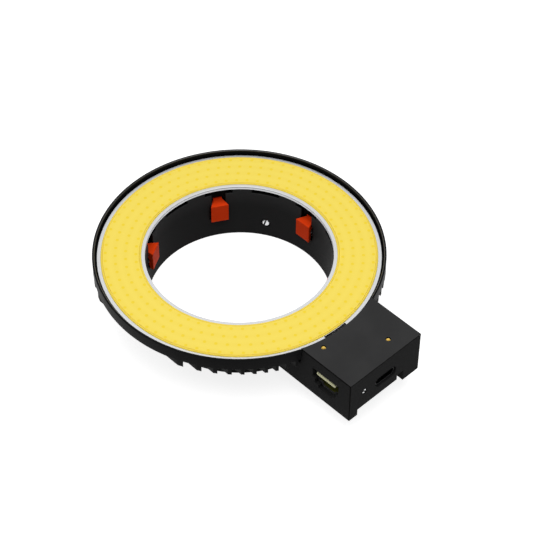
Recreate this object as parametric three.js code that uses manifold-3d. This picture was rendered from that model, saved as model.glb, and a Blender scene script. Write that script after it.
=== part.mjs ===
import * as THREE from 'three';
import { mergeVertices } from 'three/addons/utils/BufferGeometryUtils.js';
import Module from 'manifold-3d';

const wasm = await Module();
wasm.setup();

// Microscope ring light, in millimetres.
// Origin: the bore's axis, at the bottom of the mounting collar, where the light rests.
// +Z points out of the light face, +X along the electronics box, away from the bore.

// Bore and mounting collar
const bore_radius = 33;
const collar_wall = 2;
const light_face_height = 23.8;
const flange_width = 3.5;
const flange_thickness = 1.6;
const recess_depth = 1.45;
const recess_floor_drop = 3.15;
const recess_count = 12;
const recess_angle = 18;
const bore_edge_chamfer = 0.3;

// Lamp head: cup, base plate and cooling fins
const head_ring_width = 18.3;
const rim_wall = 0.85;
const rim_step = 1.7;
const rim_lip_radius = 0.3;
const plate_thickness = 1.4;
const fin_pitch = 3.12;
const fin_thickness = 0.9;
const fin_depth = 2.6;

// Light engine: aluminium core board, silicone dams and phosphor layer
const board_rim_gap = 0.75;
const board_thickness = 1.3;
const board_groove_depth = 0.15;
const board_groove_height = 0.2;
const board_groove_drop = 0.3;
const thermal_pad_thickness = 0.3;
const phosphor_inner_border = 1.23;
const phosphor_outer_border = 1.26;
const phosphor_height = 0.3;
const dam_width = 0.8;
const dam_height = 0.4;
const lead_notch_depth = 1.1;
const lead_notch_half_angle = 5.6;

// Clearances between pieces
const seat_gap = 0.3;
const fit_gap = 0.15;
const pin_gap = 0.1;
const cut_overrun = 1;
const weld_distance = 0.0001;

// Electronics box, which is as wide and long as what it holds
const box_collar_gap = 2.4;
const box_lid_thickness = 1.6;
const box_side_wall = 1.8;
const box_end_wall = 2;
const box_arc_wall = 1.1;
const box_edge_radius = 0.35;
const left_runner_width = 4.1;
const right_runner_width = 7.64;
const channel_height = 2.7;
const pry_notch_width = 3;
const pry_notch_height = 2.2;
const cover_thickness = 1.5;

// Circuit board inside the box
const circuit_thickness = 1.6;
const circuit_roof_gap = 1.55;
const circuit_cover_gap = 1.4;
const circuit_margin = 0.5;
const circuit_jack_gap = 0.35;
const circuit_tongue_half_width = 5.2;
const circuit_tongue_gap = 1.1;

// Modular jack in the box's side
const jack_body_width = 15.3;
const jack_body_depth = 10.5;
const jack_lid_gap = 1.35;
const jack_cover_gap = 0.05;
const jack_end_gap = 1.7;
const jack_mouth_width = 11.9;
const jack_top_wall = 2.05;
const jack_step_rise = 4.15;
const jack_throat_width = 9.6;
const jack_throat_rise = 1.75;
const jack_tab_width = 6.2;
const jack_floor_wall = 0.5;
const jack_back_wall = 1.1;
const jack_mouth_setback = 0.3;
const contact_count = 8;
const contact_pitch = 1.02;
const contact_width = 0.45;
const contact_thickness = 0.3;
const contact_drop = 2.6;
const contact_back_gap = 1.65;
const contact_bend_reach = 1.2;
const contact_bar_width = 9.1;
const contact_bar_height = 1.3;
const contact_bar_depth = 1.05;
const contact_bar_setback = 0.75;
const contact_bar_drop = 1.6;

// USB socket in the box's end
const usb_jack_gap = 0.32;
const usb_board_gap = 0.02;
const usb_slot_side_gap = 0.43;
const usb_slot_upright_gap = 0.57;
const slot_corner_share = 0.4;
const usb_shell_width = 8.94;
const usb_shell_height = 3.26;
const usb_shell_length = 7.3;
const usb_shell_wall = 0.3;
const shell_corner_share = 0.42;
const usb_shell_setback = 0.6;
const usb_tongue_width = 6.6;
const usb_tongue_thickness = 0.7;
const usb_tongue_length = 5.2;
const usb_root_length = 1.2;

// Spring latches in the collar
const latch_count = 6;
const latch_first_angle = 30;
const latch_face_width = 6.6;
const latch_tail_width = 3.3;
const latch_reach_in = 1.9;
const latch_tail_overhang = 0.05;
const latch_top_drop = 7.2;
const latch_height = 7.85;
const latch_pad_thickness = 1.8;
const latch_pad_edge = 0.3;
const latch_tail_height = 2.2;
const latch_slope_height = 1.2;
const latch_lip_height = 0.6;
const latch_lip_thickness = 0.6;
const latch_pivot_inset = 1.15;
const latch_pivot_drop = 1.2;
const latch_pin_radius = 0.35;
const latch_pin_seat = 0.6;
const window_side_gap = 0.25;
const window_end_gap = 0.3;
const window_shoulder_drop = 1.9;
const window_shoulder_rise = 2.2;
const slot_side_gap = 0.12;
const cowl_room = 0.45;
const cowl_side_gap = 0.2;
const cowl_wall = 0.8;
const cowl_drop = 2;
const spring_width = 4;
const spring_thickness = 0.25;
const spring_foot_height = 2.4;
const spring_foot_share = 0.68;
const spring_tip_rise = 2.9;
const spring_bend_share = 0.25;

// Clamp screws through the collar
const clamp_count = 3;
const clamp_shank_radius = 1.5;
const clamp_tip_setback = 0.3;
const clamp_tip_chamfer = 0.3;
const clamp_boss_radius = 3;
const clamp_boss_length = 1.6;
const clamp_travel = 3;
const clamp_knob_radius = 3.8;
const clamp_knob_length = 4;
const clamp_knob_groove = 0.3;
const clamp_knob_ridges = 16;
const clamp_slot_width = 0.8;
const clamp_slot_depth = 0.9;

// Small fasteners
const screw_shank_radius = 0.9;
const screw_head_radius = 1.6;
const screw_head_height = 1.1;
const screw_socket_radius = 0.7;
const screw_socket_depth = 0.6;
const screw_boss_radius = 2;
const boss_inset_share = 0.85;
const socket_sides = 6;
const screw_bite = 1.6;
const cover_screw_bite = 0.9;
const flange_screw_angles = [60, 120, 180, 240, 300];
const housing_screw_rim_inset = 5.3;
const housing_screw_side_inset = 4.64;
const end_screw_radius = 0.9;
const end_screw_jack_gap = 0.05;
const end_screw_side_inset = 7.04;
const end_screw_lid_drop = 6.5;
const end_screw_setback = 0.25;
const end_screw_slot_width = 0.3;
const end_screw_slot_depth = 0.3;

// Light pipes in the lid
const light_pipe_radius = 0.75;
const light_pipe_length = 2.2;
const left_pipe_rim_gap = 1.1;
const left_pipe_side_inset = 5.84;
const right_pipe_end_inset = 5.9;
const right_pipe_side_inset = 9.74;

// Components on the circuit board
const inductor_size = 7;
const inductor_height = 4.2;
const inductor_corner = 1.2;
const inductor_usb_gap = 1.67;
const capacitor_radius = 2.6;
const capacitor_height = 6.4;
const capacitor_base_height = 0.8;
const capacitor_crimp_depth = 0.2;
const capacitor_crimp_height = 1.6;
const controller_size = 7;
const controller_height = 1;
const controller_corner = 0.3;
const terminal_length = 4.4;
const terminal_width = 4.5;
const terminal_height = 4.6;
const terminal_jack_gap = 0.32;
const terminal_mouth_radius = 0.65;
const terminal_mouth_depth = 2.3;
const component_spacing = 1;

// Leads from the circuit board to the light board
const lead_radius = 0.45;
const lead_spacing = 2.4;
const lead_bend = 1.9;
const lead_seat_depth = 1.1;
const lead_port_height = 1.8;
const lead_steps = 10;
const lead_sides = 4;

// Roundness of turned shapes
const large_turn_steps = 72;
const small_turn_steps = 16;
const hole_steps = 12;
const corner_steps = 2;
const lip_steps = 3;

// Radii worked out from the sizes above
const collar_outer_radius = bore_radius + collar_wall;
const flange_radius = collar_outer_radius + flange_width;
const flange_screw_radius = collar_outer_radius + flange_width / 2;
const head_radius = bore_radius + head_ring_width;
const head_bore_radius = collar_outer_radius + seat_gap;
const rim_inner_radius = head_radius - rim_wall;
const sector_cut_radius = rim_inner_radius - seat_gap;
const board_outer_radius = rim_inner_radius - board_rim_gap;
const phosphor_inner_radius = bore_radius + phosphor_inner_border;
const phosphor_outer_radius = board_outer_radius - phosphor_outer_border;
const latch_face_radius = bore_radius - latch_reach_in;
const latch_back_radius = latch_face_radius + latch_pad_thickness;
const latch_tail_radius = collar_outer_radius + latch_tail_overhang;
const latch_end_radius = latch_tail_radius + latch_lip_thickness;
const latch_pivot_radius = latch_tail_radius - latch_pivot_inset;

// Heights in the lamp head and the collar
const board_bottom = light_face_height - board_thickness;
const plate_top = board_bottom - thermal_pad_thickness;
const plate_bottom = plate_top - plate_thickness;
const fin_bottom = plate_bottom - fin_depth;
const rim_top = light_face_height + rim_step;
const flange_top = fin_bottom - fit_gap;
const flange_bottom = flange_top - flange_thickness;
const recess_floor = light_face_height - recess_floor_drop;
const latch_top = light_face_height - latch_top_drop;
const latch_bottom = latch_top - latch_height;
const latch_tail_bottom = latch_top - latch_tail_height;
const latch_pivot_height = latch_top - latch_pivot_drop;
const window_bottom = latch_bottom - window_end_gap;
const cowl_bottom = window_bottom - cowl_drop;
const window_shoulder = latch_top - window_shoulder_drop;
const spring_tip_height = latch_bottom + spring_tip_rise;

// Widths of the latches and their windows
const latch_taper = (latch_face_width - latch_tail_width) / (latch_tail_radius - latch_face_radius);
const slot_width = latch_face_width - latch_taper * latch_reach_in + slot_side_gap * 2;
const window_width = latch_face_width + window_side_gap * 2;
const latch_pin_length = window_width + latch_pin_seat * 2;

// Heights in the electronics box, from the lamp head down
const lid_bottom = rim_top - box_lid_thickness;
const roof_top = fin_bottom - fit_gap;
const roof_bottom = roof_top - box_lid_thickness;
const circuit_top_height = roof_bottom - circuit_roof_gap;
const circuit_bottom = circuit_top_height - circuit_thickness;
const cover_top = circuit_bottom - circuit_cover_gap;
const channel_top = cover_top - cover_thickness;
const box_bottom_height = channel_top - channel_height;
const clamp_height = channel_top - clamp_knob_radius - seat_gap;
const jack_body_bottom = cover_top + jack_cover_gap;
const jack_body_top = lid_bottom - jack_lid_gap;
const jack_mouth_top = jack_body_top - jack_top_wall;
const jack_mouth_step = jack_body_bottom + jack_step_rise;
const jack_throat_bottom = jack_body_bottom + jack_throat_rise;
const jack_tab_bottom = jack_body_bottom + jack_floor_wall;
const usb_centre_height = circuit_top_height + usb_board_gap + usb_shell_height / 2;
const end_screw_height = lid_bottom - end_screw_lid_drop;

// Reaches along the electronics box, from the lamp head out
const box_inner_reach = collar_outer_radius + box_collar_gap;
const circuit_tongue_reach = box_inner_reach + box_end_wall + circuit_tongue_gap;
const housing_screw_reach = head_radius - housing_screw_rim_inset;
const jack_centre_reach = head_radius + seat_gap + jack_body_width / 2;
const box_inside_end = jack_centre_reach + jack_body_width / 2 + jack_end_gap;
const box_end_reach = box_inside_end + box_end_wall;
const inductor_reach = box_inside_end - circuit_margin - component_spacing - inductor_size / 2;
const end_screw_length = jack_end_gap + box_end_wall - end_screw_setback - end_screw_jack_gap;

// Places across the electronics box, from the jack's side to the inductor's
const usb_room = usb_jack_gap + usb_shell_width + inductor_usb_gap;
const inductor_room = inductor_size + component_spacing + circuit_margin;
const box_inside_half_width = (fit_gap + jack_body_depth + usb_room + inductor_room) / 2;
const box_half_width = box_inside_half_width + box_side_wall;
const jack_front = fit_gap - box_inside_half_width;
const jack_back = jack_front + jack_body_depth;
const jack_cavity_depth = jack_body_depth - jack_back_wall;
const contact_reach = jack_cavity_depth - fit_gap - contact_back_gap;
const usb_centre_offset = jack_back + usb_jack_gap + usb_shell_width / 2;
const usb_slot_width = usb_shell_width + usb_slot_side_gap * 2;
const usb_slot_height = usb_shell_height + usb_slot_upright_gap * 2;
const lead_centre = jack_back + terminal_jack_gap + terminal_width / 2;
const component_row = box_inside_half_width - circuit_margin - component_spacing;
const channel_left_edge = left_runner_width - box_half_width;
const channel_right_edge = box_half_width - right_runner_width;
const housing_screw_offset = box_half_width - housing_screw_side_inset;
const end_screw_offset = end_screw_side_inset - box_half_width;
const light_pipe_places = {
  left_light_pipe: {
    reach: head_radius + left_pipe_rim_gap,
    offset: left_pipe_side_inset - box_half_width,
  },
  right_light_pipe: {
    reach: box_end_reach - right_pipe_end_inset,
    offset: box_half_width - right_pipe_side_inset,
  },
};

// Turns a closed three.js geometry into a solid that can be joined and cut
function solidOf(geometry) {
  const bare = geometry.index ? geometry.toNonIndexed() : geometry.clone();
  bare.deleteAttribute('normal');
  bare.deleteAttribute('uv');
  const welded = mergeVertices(bare, weld_distance);
  const corners = welded.index.array;
  const kept = [];
  for (let i = 0; i < corners.length; i += 3) {
    const [a, b, c] = [corners[i], corners[i + 1], corners[i + 2]];
    if (a !== b && b !== c && a !== c) {
      kept.push(a, b, c);
    }
  }
  const mesh = new wasm.Mesh({
    numProp: 3,
    vertProperties: new Float32Array(welded.attributes.position.array),
    triVerts: new Uint32Array(kept),
  });
  return new wasm.Manifold(mesh);
}

// Turns a solid back into a three.js geometry with flat faces
function geometryOf(solid) {
  const mesh = solid.getMesh();
  const geometry = new THREE.BufferGeometry();
  geometry.setAttribute('position', new THREE.BufferAttribute(mesh.vertProperties, 3));
  geometry.setIndex(new THREE.BufferAttribute(mesh.triVerts, 1));
  const flat = geometry.toNonIndexed();
  flat.computeVertexNormals();
  return flat;
}

// A solid of revolution about Z; the outline is [radius, height] pairs, closed by itself
function turned(outline, steps) {
  const points = outline.map(([radius, height]) => new THREE.Vector2(radius, height));
  let area = 0;
  points.forEach((point, i) => {
    const next = points[(i + 1) % points.length];
    area += point.x * next.y - next.x * point.y;
  });
  if (area > 0) {
    points.reverse();
  }
  points.push(points[0].clone());
  const geometry = new THREE.LatheGeometry(points.reverse(), steps);
  geometry.rotateX(Math.PI / 2);
  const solid = solidOf(geometry);
  return solid;
}

// A ring with a plain rectangular section
function ring(inner, outer, bottom, top, steps = large_turn_steps) {
  return turned([[inner, bottom], [outer, bottom], [outer, top], [inner, top]], steps);
}

// An upright cylinder round the Z axis
function disc(radius, bottom, top, steps = small_turn_steps) {
  const geometry = new THREE.CylinderGeometry(radius, radius, top - bottom, steps);
  geometry.rotateX(Math.PI / 2);
  geometry.translate(0, 0, (top + bottom) / 2);
  return solidOf(geometry);
}

// A cylinder along X, from one reach to another
function rod(radius, from, to, steps = small_turn_steps) {
  const geometry = new THREE.CylinderGeometry(radius, radius, to - from, steps);
  geometry.rotateZ(-Math.PI / 2);
  geometry.translate((from + to) / 2, 0, 0);
  return solidOf(geometry);
}

// A block between two corners
function block(low, high) {
  const geometry = new THREE.BoxGeometry(high[0] - low[0], high[1] - low[1], high[2] - low[2]);
  geometry.translate((low[0] + high[0]) / 2, (low[1] + high[1]) / 2, (low[2] + high[2]) / 2);
  return solidOf(geometry);
}

// A flat outline in X and Y, raised from one height to another
function slab(outline, bottom, top) {
  const shape = Array.isArray(outline)
    ? new THREE.Shape(outline.map(([x, y]) => new THREE.Vector2(x, y)))
    : outline;
  const options = { depth: top - bottom, bevelEnabled: false, curveSegments: corner_steps };
  const geometry = new THREE.ExtrudeGeometry(shape, options);
  geometry.translate(0, 0, bottom);
  return solidOf(geometry);
}

// An outline in Y and Z, drawn out along X
function barAlongX(outline, from, to) {
  const shape = Array.isArray(outline)
    ? new THREE.Shape(outline.map(([y, z]) => new THREE.Vector2(y, z)))
    : outline;
  const options = { depth: to - from, bevelEnabled: false, curveSegments: corner_steps };
  const geometry = new THREE.ExtrudeGeometry(shape, options);
  geometry.rotateX(Math.PI / 2);
  geometry.rotateZ(Math.PI / 2);
  geometry.translate(from, 0, 0);
  return solidOf(geometry);
}

// An outline in X and Z, drawn out along Y
function barAlongY(outline, from, to) {
  const shape = new THREE.Shape(outline.map(([x, z]) => new THREE.Vector2(x, z)));
  const options = { depth: to - from, bevelEnabled: false };
  const geometry = new THREE.ExtrudeGeometry(shape, options);
  geometry.rotateX(Math.PI / 2);
  geometry.translate(0, to, 0);
  return solidOf(geometry);
}

// A slice of a ring between two angles, in degrees
function ringSlice(inner, outer, startAngle, endAngle, bottom, top) {
  const start = THREE.MathUtils.degToRad(startAngle);
  const end = THREE.MathUtils.degToRad(endAngle);
  const shape = new THREE.Shape();
  shape.absarc(0, 0, outer, start, end, false);
  shape.absarc(0, 0, inner, end, start, true);
  return slab(shape, bottom, top);
}

// A rectangle with round corners, centred on a point
function roundedRectangle(centreX, centreY, width, height, radius) {
  const shape = new THREE.Shape();
  const right = centreX + width / 2 - radius;
  const left = centreX - width / 2 + radius;
  const upper = centreY + height / 2 - radius;
  const lower = centreY - height / 2 + radius;
  shape.absarc(right, upper, radius, 0, Math.PI / 2, false);
  shape.absarc(left, upper, radius, Math.PI / 2, Math.PI, false);
  shape.absarc(left, lower, radius, Math.PI, Math.PI * 1.5, false);
  shape.absarc(right, lower, radius, Math.PI * 1.5, Math.PI * 2, false);
  return shape;
}

// Copies of a solid, turned about Z to each angle in degrees and joined
function spread(solid, angles) {
  return angles.map((angle) => solid.rotate([0, 0, angle])).reduce((all, next) => all.add(next));
}

// Even angles round the bore, in degrees
function evenAngles(count, first = 0) {
  return Array.from({ length: count }, (_, i) => first + (360 * i) / count);
}

// Colours and finishes, one for each kind of material
function finish(color, roughness, metalness) {
  return new THREE.MeshStandardMaterial({ color, roughness, metalness });
}
const black_anodised = finish(0x1c1c1d, 0.5, 0.3);
const black_plastic = finish(0x2a2a2b, 0.6, 0);
const dark_plastic = finish(0x141414, 0.5, 0);
const bare_aluminium = finish(0xd8dade, 0.3, 0.9);
const grey_silicone = finish(0x8c8f92, 0.8, 0);
const phosphor_yellow = finish(0xf4df5c, 0.55, 0);
const dam_yellow = finish(0xefd34a, 0.5, 0);
const latch_red = finish(0xc23a14, 0.45, 0);
const polished_steel = finish(0xc9cbce, 0.25, 1);
const spring_steel = finish(0x8f9296, 0.35, 1);
const green_laminate = finish(0x1f4a2c, 0.5, 0);
const gold_plate = finish(0xd9c27a, 0.3, 1);
const amber_clear = finish(0xe0a030, 0.2, 0);
const lead_black = finish(0x101010, 0.6, 0);

const ring_light = new THREE.Group();

// Adds a named piece to a group
function addPiece(name, solid, material, group = ring_light) {
  const mesh = new THREE.Mesh(geometryOf(solid), material);
  mesh.name = name;
  group.add(mesh);
  return mesh;
}

// The finned cup of the lamp head, with a flat base plate, a raised rim and parallel fins
function heatSink() {
  const lip = [];
  for (let i = 0; i <= lip_steps; i += 1) {
    const turn = (Math.PI / 2) * (i / lip_steps);
    const out = head_radius - rim_lip_radius + rim_lip_radius * Math.cos(turn);
    lip.push([out, rim_top - rim_lip_radius + rim_lip_radius * Math.sin(turn)]);
  }
  const cup = turned([
    [head_bore_radius, plate_bottom],
    [head_radius, plate_bottom],
    ...lip,
    [rim_inner_radius, rim_top],
    [rim_inner_radius, plate_top],
    [head_bore_radius, plate_top],
  ], large_turn_steps);
  const fin_root = plate_bottom + plate_thickness / 2;
  const fin_zone = ring(head_bore_radius, head_radius, fin_bottom, fin_root);
  const post = disc(screw_boss_radius, fin_bottom, fin_root, hole_steps);
  const hole_top = fin_bottom + screw_bite + pin_gap;
  const hole = disc(screw_shank_radius + pin_gap, fin_bottom - cut_overrun, hole_top, hole_steps);
  return cup
    .add(finRow().add(atHeadScrews(post)).intersect(fin_zone))
    .subtract(atHeadScrews(hole))
    .subtract(boxSector());
}

// The row of parallel fins, before it is trimmed to the ring
function finRow() {
  const last = Math.floor((head_radius - fin_pitch) / fin_pitch);
  const fins = [];
  for (let i = -last; i <= last; i += 1) {
    const middle = i * fin_pitch;
    const low = [-head_radius, middle - fin_thickness / 2, fin_bottom];
    const high = [head_radius, middle + fin_thickness / 2, plate_bottom + plate_thickness / 2];
    fins.push(block(low, high));
  }
  return fins.reduce((all, next) => all.add(next));
}

// Copies of a post or hole at every screw that goes up into the heat sink
function atHeadScrews(shape) {
  const box_copies = [-housing_screw_offset, housing_screw_offset].map((offset) =>
    shape.translate([housing_screw_reach, offset, 0]));
  const collar_copies = spread(shape.translate([flange_screw_radius, 0, 0]), flange_screw_angles);
  return box_copies.reduce((all, next) => all.add(next), collar_copies);
}

// The part of the rim that gives way to the electronics box
function boxSector() {
  const side = box_half_width + seat_gap;
  const low = [0, -side, fin_bottom - cut_overrun];
  const high = [head_radius + cut_overrun, side, rim_top + cut_overrun];
  const inside = disc(sector_cut_radius, low[2], high[2], large_turn_steps);
  return block(low, high).subtract(inside);
}

// The sleeve that goes over the objective, with latch windows, recesses and screw holes
function mountingCollar() {
  const sleeve = turned([
    [bore_radius + bore_edge_chamfer, 0],
    [collar_outer_radius, 0],
    [collar_outer_radius, flange_bottom],
    [flange_radius, flange_bottom],
    [flange_radius, flange_top],
    [collar_outer_radius, flange_top],
    [collar_outer_radius, plate_top],
    [bore_radius, plate_top],
    [bore_radius, bore_edge_chamfer],
  ], large_turn_steps);
  const boss = rod(clamp_boss_radius, bore_radius + collar_wall / 2, collar_outer_radius + clamp_boss_length)
    .translate([0, 0, clamp_height]);
  const clamp_hole = rod(clamp_shank_radius + seat_gap, 0, flange_radius + cut_overrun)
    .translate([0, 0, clamp_height]);
  const recess = ringSlice(
    bore_radius - cut_overrun,
    bore_radius + recess_depth,
    -recess_angle / 2,
    recess_angle / 2,
    recess_floor,
    plate_top + cut_overrun,
  );
  const flat_low = [box_inner_reach - seat_gap, -flange_radius, flange_bottom - cut_overrun];
  const flat_high = [flange_radius + cut_overrun, flange_radius, flange_top + cut_overrun];
  const flange_hole = disc(screw_shank_radius + fit_gap, flat_low[2], flat_high[2], hole_steps)
    .translate([flange_screw_radius, 0, 0]);
  return sleeve
    .add(spread(boss, evenAngles(clamp_count)))
    .add(spread(latchCowl(), evenAngles(latch_count, latch_first_angle)))
    .subtract(spread(clamp_hole, evenAngles(clamp_count)))
    .subtract(spread(recess, evenAngles(recess_count)))
    .subtract(spread(latchWindow().add(pinHole()), evenAngles(latch_count, latch_first_angle)))
    .subtract(spread(flange_hole, flange_screw_angles))
    .subtract(block(flat_low, flat_high));
}

// The walls that close one latch window on the collar's outside, open below for the spring's foot
function latchCowl() {
  const reach = latch_end_radius + cowl_room;
  const side = window_width / 2 + cowl_side_gap;
  const walls = block(
    [bore_radius + collar_wall / 2, -side - cowl_wall, cowl_bottom],
    [reach + cowl_wall, side + cowl_wall, flange_bottom + cut_overrun],
  );
  const room = block([collar_outer_radius, -side, cowl_bottom - cut_overrun], [reach, side, flange_bottom]);
  return walls.subtract(room);
}

// The opening in the collar's wall round one latch, narrow above and wide below
function latchWindow() {
  return barAlongX([
    [-window_width / 2, window_bottom],
    [window_width / 2, window_bottom],
    [window_width / 2, window_shoulder],
    [slot_width / 2, window_shoulder + window_shoulder_rise],
    [slot_width / 2, plate_top + cut_overrun],
    [-slot_width / 2, plate_top + cut_overrun],
    [-slot_width / 2, window_shoulder + window_shoulder_rise],
    [-window_width / 2, window_shoulder],
  ], bore_radius - cut_overrun, latch_end_radius + seat_gap);
}

// One latch, in a frame where X points away from the bore's axis
function springLatch() {
  const side_view = barAlongY([
    [latch_face_radius, latch_bottom + latch_pad_edge],
    [latch_face_radius + latch_pad_edge, latch_bottom],
    [latch_back_radius, latch_bottom],
    [latch_back_radius, latch_tail_bottom - latch_slope_height],
    [latch_end_radius, latch_tail_bottom],
    [latch_end_radius, latch_top + latch_lip_height],
    [latch_tail_radius, latch_top + latch_lip_height],
    [latch_tail_radius, latch_top],
    [latch_face_radius, latch_top],
  ], -latch_face_width / 2, latch_face_width / 2);
  const plan = slab([
    [latch_face_radius, -latch_face_width / 2],
    [latch_tail_radius, -latch_tail_width / 2],
    [latch_end_radius, -latch_tail_width / 2],
    [latch_end_radius, latch_tail_width / 2],
    [latch_tail_radius, latch_tail_width / 2],
    [latch_face_radius, latch_face_width / 2],
  ], latch_bottom, latch_top + latch_lip_height);
  return side_view.intersect(plan).subtract(pinRod(latch_pin_radius + pin_gap, latch_face_width));
}

// A rod across a latch, on the line that it turns about
function pinRod(radius, reach, other_reach = reach) {
  return rod(radius, -reach, other_reach, hole_steps)
    .rotate([0, 0, 90])
    .translate([latch_pivot_radius, 0, latch_pivot_height]);
}

// The hole for a latch's pin, which is pushed in from the collar's outside
function pinHole() {
  const radius = latch_pin_radius + pin_gap;
  const way_out = Math.sqrt(collar_outer_radius ** 2 - (latch_pivot_radius - radius) ** 2);
  return pinRod(radius, latch_pin_length / 2 + pin_gap, way_out + cut_overrun);
}

// The bent strip that presses a latch back into the bore
function latchSpring() {
  const foot_front = collar_outer_radius + fit_gap;
  const foot_back = foot_front + spring_thickness;
  const tip_front = latch_back_radius + seat_gap;
  const tip_back = tip_front + spring_thickness;
  const foot_top = spring_foot_height + (spring_tip_height - spring_foot_height) * spring_foot_share;
  const rise = spring_tip_height - foot_top;
  return barAlongY([
    [foot_front, spring_foot_height],
    [foot_back, spring_foot_height],
    [foot_back, foot_top],
    [tip_back, spring_tip_height - rise * spring_bend_share],
    [foot_back, spring_tip_height + rise * spring_bend_share],
    [foot_front, spring_tip_height + rise * spring_bend_share],
    [tip_front, spring_tip_height - rise * spring_bend_share + spring_thickness],
    [tip_front, spring_tip_height - rise * spring_bend_share - spring_thickness],
    [foot_front, foot_top],
  ], -spring_width / 2, spring_width / 2);
}

// A turned knob screw along X, its tip towards the bore
function clampScrew() {
  const tip = bore_radius + clamp_tip_setback;
  const knob_start = collar_outer_radius + clamp_boss_length + clamp_travel;
  const knob_end = knob_start + clamp_knob_length;
  const shank = turned([
    [0, tip],
    [clamp_shank_radius - clamp_tip_chamfer, tip],
    [clamp_shank_radius, tip + clamp_tip_chamfer],
    [clamp_shank_radius, knob_start + clamp_tip_chamfer],
    [0, knob_start + clamp_tip_chamfer],
  ], small_turn_steps);
  const knob_shape = new THREE.Shape();
  const points = clamp_knob_ridges * 2;
  for (let i = 0; i < points; i += 1) {
    const radius = clamp_knob_radius - (i % 2 ? clamp_knob_groove : 0);
    const turn = (2 * Math.PI * i) / points;
    if (i === 0) {
      knob_shape.moveTo(radius, 0);
    } else {
      knob_shape.lineTo(radius * Math.cos(turn), radius * Math.sin(turn));
    }
  }
  const driver_slot = block(
    [-clamp_knob_radius - cut_overrun, -clamp_slot_width / 2, knob_end - clamp_slot_depth],
    [clamp_knob_radius + cut_overrun, clamp_slot_width / 2, knob_end + cut_overrun],
  );
  return slab(knob_shape, knob_start, knob_end)
    .subtract(driver_slot)
    .add(shank)
    .rotate([0, 90, 0])
    .translate([0, 0, clamp_height]);
}

// An upright screw with its head down; its head's seat is at height 0
function capScrew(shank_length) {
  const socket_floor = -screw_head_height + screw_socket_depth;
  const socket = disc(screw_socket_radius, -screw_head_height - cut_overrun, socket_floor, socket_sides);
  return disc(screw_head_radius, -screw_head_height, 0, hole_steps)
    .add(disc(screw_shank_radius, 0, shank_length, hole_steps))
    .subtract(socket);
}

// The light board, cut back where the leads reach it
function lightBoard() {
  const groove_top = light_face_height - board_groove_drop;
  const groove_bottom = groove_top - board_groove_height;
  const board = turned([
    [bore_radius, board_bottom],
    [board_outer_radius, board_bottom],
    [board_outer_radius, light_face_height],
    [bore_radius, light_face_height],
    [bore_radius, groove_top],
    [bore_radius + board_groove_depth, groove_top],
    [bore_radius + board_groove_depth, groove_bottom],
    [bore_radius, groove_bottom],
  ], large_turn_steps);
  return board.subtract(leadNotch());
}

// The gap in the light board's border where the leads come in, beside the electronics box
function leadNotch() {
  const middle = THREE.MathUtils.radToDeg(Math.asin(lead_centre / board_outer_radius));
  return ringSlice(
    board_outer_radius - lead_notch_depth,
    board_outer_radius + cut_overrun,
    middle - lead_notch_half_angle,
    middle + lead_notch_half_angle,
    plate_top - cut_overrun,
    light_face_height + cut_overrun,
  );
}

// The shell of the electronics box, open below
function boxShell() {
  const height = rim_top - box_bottom_height;
  const end_face = roundedRectangle(
    0, box_bottom_height + height / 2, box_half_width * 2, height, box_edge_radius);
  const outside = barAlongX(end_face, box_inner_reach, box_end_reach);
  const head_space = disc(rim_inner_radius, roof_top, rim_top + cut_overrun, large_turn_steps);
  const wall_radius = rim_inner_radius + box_arc_wall;
  const arc_wall = disc(wall_radius, box_bottom_height - cut_overrun, rim_top, large_turn_steps);
  const upper_room = block(
    [0, -box_inside_half_width, box_bottom_height - cut_overrun],
    [box_inside_end, box_inside_half_width, lid_bottom],
  ).subtract(arc_wall);
  const lower_room = block(
    [box_inner_reach + box_end_wall, -box_inside_half_width, box_bottom_height - cut_overrun],
    [box_inside_end, box_inside_half_width, roof_bottom],
  );
  const hollow = outside.subtract(head_space).subtract(upper_room).subtract(lower_room);
  return hollow
    .add(boxFeet())
    .add(coverBosses())
    .subtract(boxCutouts());
}

// The two runners that the box's sides end in
function boxFeet() {
  const near = box_inner_reach + box_end_wall / 2;
  const far = box_end_reach - box_end_wall / 2;
  const side = box_half_width - box_edge_radius;
  const left = block([near, -side, box_bottom_height], [far, channel_left_edge, cover_top]);
  const right = block([near, channel_right_edge, box_bottom_height], [far, side, cover_top]);
  return left.add(right);
}

// Places of the cover's screws and the height that each post reaches to
function coverScrewPlaces() {
  const inset = screw_boss_radius * boss_inset_share;
  const near = box_inner_reach + box_end_wall + inset;
  const far = box_inside_end - inset;
  const roof = roof_bottom + box_lid_thickness / 2;
  return [
    { reach: near, offset: channel_left_edge + inset, post_top: roof },
    { reach: near, offset: channel_right_edge - inset, post_top: roof },
    { reach: far, offset: channel_right_edge - inset, post_top: circuit_bottom - fit_gap },
  ];
}

// Posts inside the box that the cover's screws bite into
function coverBosses() {
  const hole_top = cover_top + cover_screw_bite + pin_gap;
  const hole = disc(screw_shank_radius + pin_gap, cover_top - cut_overrun, hole_top, hole_steps);
  return coverScrewPlaces()
    .map(({ reach, offset, post_top }) =>
      disc(screw_boss_radius, cover_top, post_top, hole_steps).subtract(hole).translate([reach, offset, 0]))
    .reduce((all, next) => all.add(next));
}

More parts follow.
